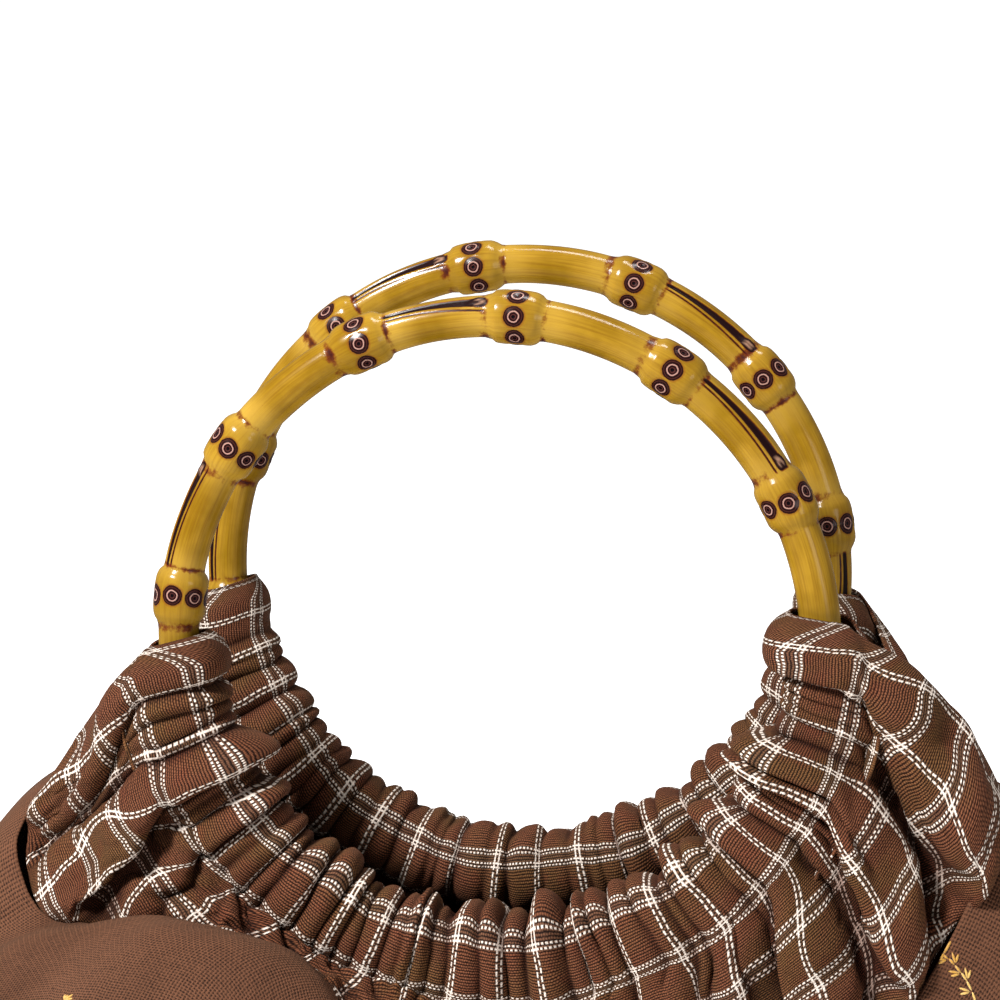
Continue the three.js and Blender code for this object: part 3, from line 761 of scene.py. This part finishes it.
def ring_layout(half):
    """Ring angles of the sections, the joint of each, and the mm on from that joint's knuckle."""
    knuckles = np.array(half["knuckles"], float)
    gap = np.diff(np.append(knuckles, knuckles[0] + 360))
    # Sections lie close together at the knuckles and wider apart between them.
    u = np.arange(JOINT_STEPS) / JOINT_STEPS
    share = u - 0.105 * np.sin(2 * np.pi * u)
    angle = (knuckles[:, None] + share[None] * gap[:, None]).ravel()
    joint = np.repeat(np.arange(KNUCKLES), JOINT_STEPS)
    on = (share[None] * np.radians(gap)[:, None] * RING_RADIUS).ravel()
    length = np.repeat(np.radians(gap) * RING_RADIUS, JOINT_STEPS)
    return angle, joint, on, length


def handle(half, material):
    rng = np.random.RandomState(half["seed"])
    eye_start = EYE_START + rng.uniform(-5, 5, KNUCKLES)
    angle, joint, on, length = ring_layout(half)
    turn = np.arange(ROUND_STEPS) * 2 * np.pi / ROUND_STEPS
    on2, turn2 = on[:, None], turn[None]
    before = on2 > length[:, None] / 2
    away = np.where(before, on2 - length[:, None], on2)
    knuckle = np.where(before, (joint[:, None] + 1) % KNUCKLES, joint[:, None])
    wobble = noise(angle[:, None] / 13.0, np.cos(turn2) * 1.1 + 5, half["seed"] + 1)
    radius = SHAFT_RADIUS + knuckle_swell(away) + 0.12 * wobble
    # Eyes: the nearest one round each knuckle
    degrees = np.degrees(turn2)
    local = (degrees - eye_start[knuckle] + EYE_SPACING / 2) % 360
    which = np.minimum(np.floor(local / EYE_SPACING), EYE_COUNT - 1)
    eye_y = np.radians(local - which * EYE_SPACING - EYE_SPACING / 2) * EYE_RADIUS
    jitter = np.random.RandomState(half["seed"] + 2).uniform(-0.5, 0.5, (KNUCKLES, EYE_COUNT))
    eye_x = away - jitter[knuckle, which.astype(int)]
    eye_off = np.hypot(eye_x, eye_y)
    radius = radius + eye_relief(eye_off) * (np.abs(away) < EYE_REACH)
    # A groove runs on from every second knuckle to the next one, wide first and then thinner.
    grooved = (joint[:, None] % 2 == half["groove"]) * np.ones_like(turn2)
    share = on2 / length[:, None]
    line = np.radians(GROOVE_TURN + 5 * np.sin(share * 3 + joint[:, None]))
    aside = np.angle(np.exp(1j * (turn2 - line))) * GROOVE_RADIUS
    width = mix(1.25, 0.6, smooth((share - 0.1) / 0.75))
    span = smooth((on2 - 6.8) / 1.4) * smooth((length[:, None] - 6.4 - on2) / 2.0)
    groove = grooved * span * smooth(1.6 - np.abs(aside) / width)
    thin = 0.75 * grooved * span * np.exp(-((aside - width * 1.5 - 0.75) / 0.3) ** 2)
    lips = grooved * span * np.exp(-((np.abs(aside) - width * 1.5) / 0.5) ** 2)
    from_bud = np.hypot((on2 - BUD_AT) / 1.15, aside)
    bud = grooved * smooth(2.1 - from_bud)
    bud_ring = grooved * np.exp(-((from_bud - 0.75) / 0.24) ** 2)
    radius = radius - 0.45 * groove + 0.1 * lips - 0.08 * thin + 0.6 * bud
    # Burnt scars beside each knuckle: broad on its far side, thin on its near side
    far = np.exp(-((away - 8.2) / 1.5) ** 2) * 0.95
    near = np.exp(-((away + 7.6) / 0.9) ** 2)
    patchy = 0.62 + 0.42 * noise(turn2 * 1.4, knuckle * 3.7, half["seed"] + 3)
    scar = np.maximum(far, near) * patchy
    points = at_ring(half, RING_RADIUS + radius * np.cos(turn2), angle[:, None],
                     radius * np.sin(turn2) * half["toward_viewer"])
    sections = len(angle)
    faces = tube_faces(sections + 1, ROUND_STEPS) % (sections * ROUND_STEPS)
    obj = new_object("ring_" + half["name"], points, faces, material)
    # UVs in mm, face by face, so that none runs across a joint's end or the join round the cane
    length_on = np.radians(np.append(angle, angle[0] + 360) - angle[0]) * RING_RADIUS
    i, j = np.meshgrid(np.arange(sections), np.arange(ROUND_STEPS), indexing="ij")
    cane, eyes = [], []
    for di, dj in ((0, 0), (1, 0), (1, 1), (0, 1)):
        length_round = (j + dj) * 2 * np.pi / ROUND_STEPS * MEAN_RADIUS
        cane.append(np.stack([length_on[i + di], length_round], -1))
        corner = (i + di) % sections, (j + dj) % ROUND_STEPS
        eyes.append(np.stack([eye_x[corner], eye_y[corner]], -1))
    eyes = np.stack(eyes, -2)
    step = eyes.max(axis=-2) - eyes.min(axis=-2)
    off_knuckle = (np.abs(away) > EYE_REACH).repeat(ROUND_STEPS, 1)
    eyes[(step.max(axis=-1) > 1.4) | off_knuckle] = NO_EYE
    set_uv(obj, "Cane", np.stack(cane, -2).reshape(-1, 2))
    set_uv(obj, "Eye", eyes.reshape(-1, 2))
    bright = np.clip(0.5 + 0.5 * noise(angle[:, None] / 9.0, 0 * turn2, half["seed"] + 4), 0, 1)
    pale = bright * np.exp(-((np.abs(away) - 9) / 5) ** 2)
    set_marks(obj, "Marks", np.clip(groove + bud + thin, 0, 1), scar, pale, bud_ring)
    recalculate(obj)
    return obj


# ---- Yokes

def ruffles(half):
    """Where each fold's ruffles start round the cane, as shares of its width, and their heights."""
    rng = np.random.RandomState(half["seed"] + 50)
    cuts, heights = [], []
    for row in half["folds"]:
        parts = int(row[1])
        width = rng.uniform(0.55, 1.45, 4)
        height = rng.uniform(0.6, 1.25, 4) * row[2]
        share = np.cumsum(width[:parts]) / width[:parts].sum()
        cuts.append(np.concatenate([[0], share, np.full(4 - parts, 1.0)]))
        heights.append(np.where(np.arange(4) < parts, height, height[parts - 1]))
    return np.array(cuts), np.array(heights)


def fold_ends(half):
    return np.append(0, half["folds"][:, 0])


def gather_columns(half, count):
    """Shares of the sleeve for the columns, closer together beside each crease."""
    ends = fold_ends(half)
    cuts, _ = ruffles(half)
    marks = np.unique(np.round(ends[:-1, None] + np.diff(ends)[:, None] * cuts, 6))
    weight = np.diff(marks) + 0.008
    per = np.maximum(5, np.round(weight / weight.sum() * count)).astype(int)
    columns = [mix(marks[k], marks[k + 1], steep(np.arange(per[k]) / per[k]))
               for k in range(len(per))]
    return np.append(np.concatenate(columns), 1.0)


def steep(u):
    """Shares of a gather's width that lie closer together at its two ends."""
    return u - 0.085 * np.sin(2 * np.pi * u)


def thread(half, s, down):
    """Where on the yoke the thread lies that leaves the sleeve at s."""
    shift = 1 - (1 - down) ** 1.5
    return mix(s, curve(half["threads"][:, 0], half["threads"][:, 1], s), shift)


RUFFLE_ROUND, FOLD_ROUND = 2.7, 2.5  # powers of their cross-sections: higher is squarer
RUFFLES_END = 0.42  # share of the way down where ruffles have run out
FOLD_AT_CANE, FOLD_FULL = 0.22, 0.24  # share of a fold's height at the cane, and where it is full
SPREAD_BY = 0.5  # share of the way down where the folds have their own widths


def fold_height(half, s, down, lift):
    """Heights in mm of the ruffles and the folds at s, on a row at down with its lift."""
    table = half["folds"]
    cuts, heights = ruffles(half)
    seed = half["seed"]
    ends = fold_ends(half)
    spread = np.diff(ends) * table[:, 3]
    wide = np.append(0, np.cumsum(spread / spread.sum()))
    ease = smooth(down / SPREAD_BY)
    bounds = mix(ends, wide, ease[..., None])
    inside = smooth(np.minimum(s, 1 - s) / 0.05)
    lean = (0.008 * noise(down * 3 + 2, s * 9, seed + 5)
            + 0.0055 * noise(lift * 2.6 + down * 8, s * 34, seed + 6)) * inside
    at = np.clip(s + lean, 0, 1)
    k = np.clip((at[..., None] >= bounds[..., 1:-1]).sum(axis=-1), 0, len(table) - 1)
    bounds = np.broadcast_to(bounds, at.shape + bounds.shape[-1:])
    start = np.take_along_axis(bounds, k[..., None], -1)[..., 0]
    end = np.take_along_axis(bounds, k[..., None] + 1, -1)[..., 0]
    u = np.clip((at - start) / np.maximum(end - start, 1e-4), 0, 1)
    # Ruffles round the cane; some of them run out before the others
    j = np.clip((u[..., None] >= cuts[k][..., 1:]).sum(axis=-1), 0, table[k, 1].astype(int) - 1)
    low = np.take_along_axis(cuts[k], j[..., None], -1)[..., 0]
    high = np.take_along_axis(cuts[k], j[..., None] + 1, -1)[..., 0]
    small = np.clip((u - low) / np.maximum(high - low, 1e-4), 0, 1)
    tall = np.take_along_axis(heights[k], j[..., None], -1)[..., 0]
    vary = 1 + 0.4 * noise((k + j * 0.31) * 1.7 + 0.5, down * 4 + lift * 2, seed + 7)
    round_top = np.maximum(0, 1 - np.abs(2 * small - 1) ** RUFFLE_ROUND)
    reach = RUFFLES_END + 0.2 * noise(k * 2.3 + j * 0.7, 0.5, seed + 12)
    ruffle = GATHER_HEIGHT * tall * lift * round_top * vary * (1 - smooth(down / reach))
    # Folds further down, which begin at the cane
    valley = np.append(-0.3, table[:, 5])
    base = mix(valley[k], valley[k + 1], u)
    crest = np.maximum(0, 1 - np.abs(2 * u - 1) ** FOLD_ROUND)
    share = mix(FOLD_AT_CANE * lift, 1, smooth(down / FOLD_FULL)) * smooth((1.02 - down) / 0.25)
    fold = (base + table[k, 4] * crest * (0.5 + 0.5 * vary)) * share
    return ruffle, fold


def through(a, b, c, d, u):
    """A point at u between b and c on a smooth curve through all four."""
    return 0.5 * (2 * b + (c - a) * u + (2 * a - 5 * b + 4 * c - d) * u * u
                  + (3 * b - a - 3 * c + d) * u ** 3)


def wrap_rows(half, t, per):
    """The rows from the hem behind, round the cane, to where the yoke hangs free."""
    control = [yoke_point(half, t, HEM_DOWN) - yoke_outward(half, t, HEM_DOWN) * (CHECK_WALL + 0.3)]
    lifts = [0.0]
    for out, face, lift in SLEEVE_WRAP:
        control.append(sleeve_point(half, t, out, face))
        lifts.append(lift * (half["inside"] if out < 0 else 1))
    control.append(yoke_point(half, thread(half, t, 0.1), 0.1))
    lifts.append(SLEEVE_WRAP[-1][2])
    control = np.stack(control)
    rows, raised = [], []
    for k in range(len(control) - 2):
        before = control[max(k - 1, 0)]
        a, b, after = control[k], control[k + 1], control[k + 2]
        for s in range(per):
            x = s / per
            rows.append(through(before, a, b, after, x))
            raised.append(mix(lifts[k], lifts[k + 1], float(smooth(x))))
    return rows, raised


def yoke_grid(half, t, per, hang_rows):
    """The middle of the yoke's cloth, (columns, rows, 3), without folds and with them."""
    rows, lifts = wrap_rows(half, t, per)
    downs = [0.0] * len(rows)
    for k in range(hang_rows + 1):
        down = k / hang_rows
        rows.append(yoke_point(half, thread(half, t, down), down))
        lifts.append(SLEEVE_WRAP[-1][2])
        downs.append(down)
    flat = np.stack(rows, 1)
    lifts, downs = np.array(lifts)[None], np.array(downs)[None]
    ruffle, fold = fold_height(half, t[:, None], downs, lifts)
    hangs = np.linalg.norm(np.diff(flat[:, -hang_rows:], axis=1), axis=-1).sum(axis=1)[:, None]
    room = mix(1, np.clip(hangs / 75, 0.45, 1), smooth(downs / 0.2))
    # Fine creases that follow the folds, and a few that cross them
    mm_t, row = t[:, None] * 420, np.arange(flat.shape[1])[None] * 1.2
    fine = noise(mm_t / 3.1 + row / 40, row / 9.0, half["seed"] + 8)
    loose = noise(mm_t / 11.0, row / 7.0, half["seed"] + 9)
    near_hem = smooth(from_side(t) / 0.03)
    crumple = near_hem * (0.36 * fine + 0.8 * loose) * smooth(np.arange(flat.shape[1])[None] / 4)
    calm = mix(1, 0.12, smooth((downs - 0.84) / 0.08)) * room
    height = (ruffle + fold + crumple) * calm
    normal = soften(outward_of(half, flat), 6)
    # Folds lean down the bag's two sides, and hang over the creases under them
    lean = FOLD_LEAN * np.cos(np.pi * t)[:, None] * near_hem * calm
    lean = lean * (1 + 0.5 * noise(t[:, None] * 23, downs * 5, half["seed"] + 10))
    aside = soften(unit(np.gradient(flat, axis=0)), 6)
    push = lean * (np.maximum(fold, -1) * 0.9 + ruffle * 0.35)
    folded = flat + normal * height[..., None] + aside * push[..., None]
    folded[1:-1] = (folded[:-2] + 2 * folded[1:-1] + folded[2:]) / 4
    return flat, folded


def soften(field, passes):
    """Directions, evened out between neighbours."""
    for _ in range(passes):
        wide = np.concatenate([field[:1], field, field[-1:]])
        field = (wide[:-2] + 2 * field + wide[2:]) / 4
        wide = np.concatenate([field[:, :1], field, field[:, -1:]], 1)
        field = (wide[:, :-2] + 2 * field + wide[:, 2:]) / 4
    return unit(field)


def sheet_uv(flat, folded, first=0):
    """Flat-cloth mm: across by the folded length from row first on, down by the smooth one."""
    across = np.linalg.norm(np.diff(folded[:, first:], axis=0), axis=-1).mean(axis=1)
    u = np.append(0, np.cumsum(across))
    down = np.linalg.norm(np.diff(flat, axis=1), axis=-1)
    v = np.concatenate([np.zeros((len(flat), 1)), np.cumsum(down, axis=1)], 1)
    return np.stack([np.broadcast_to(u[:, None], v.shape), v], -1)


# The simulation runs at ten times the real size, where its solver is at ease, on a coarser sheet
SIM_SCALE = 10.0
SIM_COLUMNS, SIM_WRAP, SIM_HANG = 250, 2, 30
SIM_FRAMES, SIM_BENDING, SIM_GRAVITY = 30, 0.08, 0.4
SPARE_CLOTH = 1.22
LARGEST_MOVE = 9.0


def settle(name, grid, rest, hold):
    """Lets a sheet with some spare cloth buckle and sag between the rows that hold it."""
    columns, rows = grid.shape[:2]
    obj = new_object(name + "_sim", grid * SIM_SCALE, grid_faces(columns, rows, False), None)
    obj.shape_key_add(name="hung")
    flat_key = obj.shape_key_add(name="flat")
    flat_key.data.foreach_set("co", (rest * SIM_SCALE * MM).astype(np.float32).ravel())
    group = obj.vertex_groups.new(name="hold")
    levels = np.round(hold.ravel() * 20).astype(int)
    for level in np.unique(levels):
        if level:
            group.add(np.nonzero(levels == level)[0].tolist(), level / 20, "REPLACE")
    cloth = obj.modifiers.new("Cloth", "CLOTH")
    facts = cloth.settings
    facts.quality = 5
    facts.mass = 0.25
    facts.tension_stiffness = facts.compression_stiffness = 25
    facts.shear_stiffness = 8
    facts.bending_stiffness = SIM_BENDING
    facts.air_damping = 3
    facts.vertex_group_mass = "hold"
    facts.rest_shape_key = flat_key
    facts.effector_weights.gravity = SIM_GRAVITY
    touch = cloth.collision_settings
    touch.use_collision = False
    touch.use_self_collision = False
    cloth.point_cache.frame_end = SIM_FRAMES
    scene = bpy.context.scene
    for number in range(1, SIM_FRAMES + 1):
        scene.frame_set(number)
    shape = obj.evaluated_get(bpy.context.evaluated_depsgraph_get()).to_mesh()
    points = np.empty(columns * rows * 3, np.float32)
    shape.vertices.foreach_get("co", points)
    mesh = obj.data
    bpy.data.objects.remove(obj)
    bpy.data.meshes.remove(mesh)
    scene.frame_set(1)
    return points.reshape(grid.shape).astype(float) / SIM_SCALE / MM


def resample(move, t_from, t_to, row_from, row_to):
    """A (columns, rows, 3) field read off at other columns and rows."""
    def along(field, x, x_new):
        k = np.clip(np.searchsorted(x, x_new, side="right") - 1, 0, len(x) - 2)
        u = ((x_new - x[k]) / (x[k + 1] - x[k]))[:, None, None]
        before, after = np.maximum(k - 1, 0), np.minimum(k + 2, len(x) - 1)
        a, b, c, d = field[before], field[k], field[k + 1], field[after]
        return through(a, b, c, d, u)
    wide = along(move, t_from, t_to)
    return along(wide.swapaxes(0, 1), row_from, row_to).swapaxes(0, 1)


def row_places(per, hang_rows):
    """Where each row lies: 0 to 7 from the hem behind to the foot of the wrap, then on to 8."""
    wrap = np.arange(7 * per) / per
    return np.append(wrap, 7 + np.arange(hang_rows + 1) / hang_rows)


def slack(half, t, per, hang_rows):
    """How far the simulation moves each point of the yoke."""
    coarse_t = gather_columns(half, SIM_COLUMNS)
    flat, start = yoke_grid(half, coarse_t, SIM_WRAP, SIM_HANG)
    place = row_places(SIM_WRAP, SIM_HANG)
    hold = 1 - smooth(place - 6.2) * smooth((7.97 - place) / 0.12)
    hold = np.maximum(hold, 0.6 * smooth(1 - from_side(coarse_t) / 0.02))
    rest = sheet_uv(flat, start) * [SPARE_CLOTH, 1.0]
    rest = np.concatenate([rest, np.zeros(start.shape[:2] + (1,))], -1)
    move = settle("yoke", start, rest, hold) - start
    size = np.linalg.norm(move, axis=-1, keepdims=True)
    move = move * LARGEST_MOVE * np.tanh(size / LARGEST_MOVE) / np.maximum(size, 1e-6)
    return resample(move, coarse_t, t, place, row_places(per, hang_rows))


def yoke(half, material):
    t = gather_columns(half, YOKE_COLUMNS[half["name"]])
    flat, folded = yoke_grid(half, t, WRAP_STEPS, HANG_ROWS)
    folded = folded + slack(half, t, WRAP_STEPS, HANG_ROWS)
    uv = sheet_uv(flat, folded, 3 * WRAP_STEPS)
    obj = cloth_object("checked_yoke_" + half["name"], half, folded, COTTON, uv, material)
    # The crease mask through which shade is painted into the cotton's colour
    mark_crease_shade(obj, folded, half)
    recalculate(obj)
    return obj, folded


# ---- Pouch

def linen(half, material):
    t = np.linspace(0, 1, POUCH_COLUMNS)
    t = t - 0.02 * np.sin(4 * np.pi * t) / 2
    down = np.linspace(0, 1, POUCH_ROWS) ** 1.15
    grid = linen_point(half, t[:, None], down[None])
    normal = outward_of(half, grid)
    mm_t = t[:, None] * 520
    seed = half["seed"] + 20
    pucker = 0.55 * noise(mm_t / 4.2, down[None] * 6, seed) * smooth(1 - down[None] / 0.16)
    soft = 1.7 * noise(mm_t / 46 + down[None] * 1.5, down[None] * 3.2, seed + 1)
    soft = soft + 0.7 * noise(mm_t / 17 - down[None] * 3, down[None] * 7, seed + 2)
    at_side = smooth(from_side(t) / 0.04)
    calm = at_side * smooth((1 - down[None]) / 0.1) * smooth(down[None] / 0.05)
    grid = grid + normal * (pucker * at_side + soft * calm)[..., None]
    grid[:, -1, 2] = LINEN / 2
    grid[..., 2] = np.maximum(grid[..., 2], LINEN / 2)
    uv = sheet_uv(grid, grid)
    obj = cloth_object("linen_pouch_" + half["name"], half, grid, LINEN, uv, material)
    recalculate(obj)
    return obj, grid, t, down


# ---- Embroidery

# Where the sprigs start on each half: t, down, and how far each leans, in degrees
SPRIGS = (
    (0.872, 0.085, 14), (0.245, 0.345, -6), (0.09, 0.32, 10), (0.4, 0.3, 8),
    (0.56, 0.33, -10), (0.715, 0.36, 12), (0.16, 0.62, -8), (0.32, 0.66, 12),
    (0.49, 0.62, -4), (0.65, 0.68, 9), (0.82, 0.62, -12), (0.94, 0.5, 6),
)


def sprig_stitches():
    """The two ends of each stitch of one plain sprig in mm, from its foot, x across and y up."""
    stem = [(2.2 * math.sin(0.1 * y), float(y)) for y in range(0, 25, 3)]
    stitches = list(zip(stem[:-1], stem[1:]))
    for k, (x, y) in enumerate(stem[1:]):
        side = 1 if k % 2 else -1
        for turn, reach in ((28, 3.4), (58, 2.6)):
            angle = math.radians(turn)
            start = (x + side * 0.5, y + 0.3)
            far = (x + side * (0.5 + reach * math.sin(angle)), y + 0.3 + reach * math.cos(angle))
            stitches.append((start, far))
    x, y = stem[-1]
    stitches += [((x, y + 0.4), (x + dx, y + 2.9)) for dx in (-1.3, 0, 1.3)]
    return stitches


def on_grid(grid, i, j):
    """A point between the points of a grid."""
    i, j = np.clip(i, 0, grid.shape[0] - 1.001), np.clip(j, 0, grid.shape[1] - 1.001)
    i0, j0 = int(i), int(j)
    a = mix(grid[i0, j0], grid[i0 + 1, j0], i - i0)
    b = mix(grid[i0, j0 + 1], grid[i0 + 1, j0 + 1], i - i0)
    return mix(a, b, j - j0)


def embroidery(half, grid, t, down, material):
    rng = np.random.RandomState(half["seed"] + 60)
    normals = outward_of(half, grid)
    sides, rings = 6, 7
    around = np.arange(sides) * 2 * np.pi / sides
    points, faces = [], []
    for t0, down0, tilt in SPRIGS:
        i0, j0 = np.interp(t0, t, np.arange(len(t))), np.interp(down0, down, np.arange(len(down)))
        step_i = np.linalg.norm(on_grid(grid, i0 + 1, j0) - on_grid(grid, i0 - 1, j0)) / 2
        step_j = np.linalg.norm(on_grid(grid, i0, j0 + 1) - on_grid(grid, i0, j0 - 1)) / 2
        lean = math.radians(tilt)
        for ends in sprig_stitches():
            (x0, y0), (x1, y1) = np.array(ends) + rng.uniform(-0.18, 0.18, (2, 2))
            spine, out = [], []
            for share in np.linspace(0, 1, rings):
                x, y = mix(x0, x1, share), mix(y0, y1, share)
                x, y = (x * math.cos(lean) + y * math.sin(lean),
                        y * math.cos(lean) - x * math.sin(lean))
                i, j = i0 + x / step_i * -half["side"], j0 - y / step_j
                raised = LINEN / 2 + 0.28 * math.sin(math.pi * share) - 0.12
                normal = on_grid(normals, i, j)
                spine.append(on_grid(grid, i, j) + normal * raised)
                out.append(normal)
            spine, out = np.array(spine), unit(np.array(out))
            way = unit(np.gradient(spine, axis=0))
            across = unit(np.cross(way, out))
            thick = 0.34 * np.sqrt(np.maximum(0.06, np.sin(np.pi * np.linspace(0, 1, rings))))
            first = sum(len(p) for p in points)
            ring = (across[:, None] * np.cos(around)[None, :, None]
                    + out[:, None] * np.sin(around)[None, :, None])
            points.append((spine[:, None] + thick[:, None, None] * ring).reshape(-1, 3))
            faces.append(tube_faces(rings, sides, first))
    obj = new_object("embroidery_" + half["name"], np.concatenate(points),
                     np.concatenate(faces), material)
    recalculate(obj)
    return obj


def yellow_thread():
    n = Nodes("yellow_thread")
    where = n.node("ShaderNodeTexCoord").outputs["Object"]
    strand = n.noise(where, 2600.0, 2.0, 0.6)
    tone = n.noise(where, 90.0, 2.0)
    color = n.blend(strand, "8c5a12", "d8a53a")
    color = n.blend(n.ramp(tone, 0.4, 0.7), color, n.blend(strand, "9a6c1c", "ecc972"))
    n.constants(Sheen_Weight=0.3)
    return n.finish(color, 0.45, strand, 0.12)


def side_seams(name, front, back, rows, material):
    """Narrow turned-in edges that close the bag's sides from inside, where two halves meet."""
    points, faces = [], []
    for column in (0, -1):
        line = (front[column, rows] + back[column, rows]) / 2
        line[:, 1] = 0
        inside = np.cross(unit(np.gradient(line, axis=0)), [0, 1, 0])
        inside *= -np.sign(line[len(line) // 2, 0]) * np.sign(inside[len(line) // 2, 0])
        corners = []
        for a, b in ((0, -1), (0, 1), (1, 1), (1, -1)):
            deep = SEAM_STRIP_DEEP + SEAM_STRIP_THICK * a
            corners.append(line + inside * deep + [0, SEAM_STRIP_HALF * b, 0])
        first = sum(len(p) for p in points)
        points.append(np.stack(corners, 1).reshape(-1, 3))
        faces.append(tube_faces(len(line), 4, first))
        last = first + (len(line) - 1) * 4
        faces.append(np.array([first + np.arange(4), last + np.arange(3, -1, -1)]))
    points, faces = np.concatenate(points), np.concatenate(faces)
    obj = new_object(name, points, faces, material)
    corners = points[faces.ravel()]
    set_uv(obj, "Cloth", np.stack([corners[:, 1] + corners[:, 0] * 0.2, corners[:, 2]], -1))
    recalculate(obj)
    return obj


def linen_bottom(material):
    inset = LINEN_WALL / 2 + 0.3
    t = np.linspace(0, 1, 90)
    outline = np.concatenate([base_point(FRONT, t, inset)[:-1],
                              base_point(BACK, t[::-1], inset)[:-1]])
    shares = np.linspace(0.02, 1, 26)
    flat = np.stack([outline * [share, share, 0] for share in shares])
    bend = 0.35 * noise(flat[..., 0] / 21, flat[..., 1] / 21, 71)
    bend = bend * smooth((1 - shares) / 0.1)[:, None]
    top = flat + np.stack([0 * bend, 0 * bend, BASE_THICKNESS - 0.6 + bend], -1)
    points = np.concatenate([top.reshape(-1, 3), flat.reshape(-1, 3)])
    n = flat.shape[1]
    count = flat.shape[0] * n
    quads = tube_faces(flat.shape[0], n)
    edge = np.arange(n)
    last = (flat.shape[0] - 1) * n
    after = (edge + 1) % n
    rim = np.stack([last + edge, last + after, count + last + after, count + last + edge], 1)
    hole = np.stack([edge, count + edge, count + after, after], 1)
    faces = np.concatenate([quads, quads[:, ::-1] + count, rim[:, ::-1], hole[:, ::-1]])
    obj = new_object("linen_bottom", points, faces, material)
    set_uv(obj, "Cloth", points[faces.ravel()][:, :2])
    recalculate(obj)
    return obj


# ---- Build

cotton_look, linen_look, bamboo_look = checked_cotton(), plain_linen(), bamboo()
thread_look = yellow_thread()
halves = {}
for half in (FRONT, BACK):
    name = half["name"]
    ring = handle(half, bamboo_look)
    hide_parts("handle_" + name)
    sheet, hung = yoke(half, cotton_look)
    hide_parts("yoke_" + name)
    pouch, *laid = linen(half, linen_look)
    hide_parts("linen_" + name)
    sprigs = embroidery(half, *laid, thread_look)
    for piece in (ring, sheet, pouch, sprigs):
        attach(piece, "root")
    halves[name] = {"ring": ring, "sheet": sheet, "pouch": pouch, "sprigs": sprigs,
                    "hung": hung, "laid": laid[0]}
front, back = halves["front"], halves["back"]
yoke_seams = side_seams(
    "yoke_side_seams", front["hung"], back["hung"], slice(-32, -3), cotton_look)
pouch_seams = side_seams(
    "pouch_side_seams", front["laid"], back["laid"], slice(1, -6), linen_look)
for piece, slot in ((yoke_seams, "checked_cotton"), (pouch_seams, "linen")):
    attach(piece, "root")
bottom = linen_bottom(linen_look)
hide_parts("linen_base")
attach(bottom, "root")


# ---- Camera, light and floor

# Where the camera stands, in degrees and mm from the middle of the front ring, and its lens
CAMERA_AZIMUTH, CAMERA_ELEVATION = math.radians(9), math.radians(14)
CAMERA_DISTANCE, CAMERA_ASIDE, CAMERA_UP = 800, -1.42, -36.5
SENSOR_MM = 36
LENS_MM = 3.095 * SENSOR_MM

# Name, place and aim in metres, size in metres, power in watts
LAMPS = (
    ("key", (-0.7, -0.75, 1.35), (0, 0, 0.3), (0.26, 0.26), 42),
    ("fill", (1.3, -1.1, 0.7), (0, 0, 0.27), (0.6, 0.6), 3.5),
    ("top", (0.1, 0.25, 1.5), (0, 0, 0.3), (0.6, 0.2), 8),
)
PAPER_SIDE = 12000.0  # half the side of the paper floor in mm
ROOM_LIGHT, PAPER_LIGHT = 0.17, 1.2  # the world's strength for the bag, and behind it


def camera():
    azimuth, elevation = CAMERA_AZIMUTH, CAMERA_ELEVATION
    right = np.array([math.cos(azimuth), math.sin(azimuth), 0])
    ahead = np.array([-math.sin(azimuth) * math.cos(elevation),
                      math.cos(azimuth) * math.cos(elevation), -math.sin(elevation)])
    up = np.cross(right, ahead)
    ring = np.array([0, FRONT["ring_y"], FRONT["ring_z"]])
    place = (ring - right * CAMERA_ASIDE - up * CAMERA_UP - ahead * CAMERA_DISTANCE) * MM
    lens = bpy.data.cameras.new("camera")
    lens.sensor_width = SENSOR_MM
    lens.lens = LENS_MM
    lens.clip_end = 50
    obj = bpy.data.objects.new("camera", lens)
    bpy.context.scene.collection.objects.link(obj)
    turn = Matrix((right, up, -ahead)).transposed()
    obj.matrix_world = Matrix.Translation(Vector(place)) @ turn.to_4x4()
    bpy.context.scene.camera = obj


def lamp(name, place, aim, size, power):
    light = bpy.data.lights.new(name, "AREA")
    light.shape = "RECTANGLE"
    light.size, light.size_y = size
    light.energy = power
    obj = bpy.data.objects.new(name, light)
    obj.location = place
    obj.rotation_euler = (Vector(aim) - Vector(place)).to_track_quat("-Z", "Y").to_euler()
    bpy.context.scene.collection.objects.link(obj)


def studio():
    n = Nodes("floor")
    n.put(n.shader.inputs["Base Color"], (0.9, 0.9, 0.9, 1))
    n.put(n.shader.inputs["Roughness"], 0.9)
    n.constants(Specular_IOR_Level=0.0, Emission_Color=(1, 1, 1, 1), Emission_Strength=0.9)
    points = [(x * PAPER_SIDE, y * PAPER_SIDE, 0) for x, y in ((-1, -1), (1, -1), (1, 1), (-1, 1))]
    floor = new_object("floor", points, [(0, 1, 2, 3)], n.material)
    floor.visible_glossy = False  # the lacquer mirrors a dim room, not the bright paper
    world = bpy.data.worlds.new("studio")
    world.use_nodes = True
    nodes, links = world.node_tree.nodes, world.node_tree.links
    color, strength = nodes["Background"].inputs[:2]
    color.default_value = (1, 1, 1, 1)
    share = nodes.new("ShaderNodeMapRange")
    share.inputs["To Min"].default_value = ROOM_LIGHT
    share.inputs["To Max"].default_value = PAPER_LIGHT
    links.new(nodes.new("ShaderNodeLightPath").outputs["Is Camera Ray"], share.inputs["Value"])
    links.new(share.outputs[0], strength)
    bpy.context.scene.world = world
    for row in LAMPS:
        lamp(*row)
    bpy.context.scene.view_settings.view_transform = "Standard"


camera()
studio()
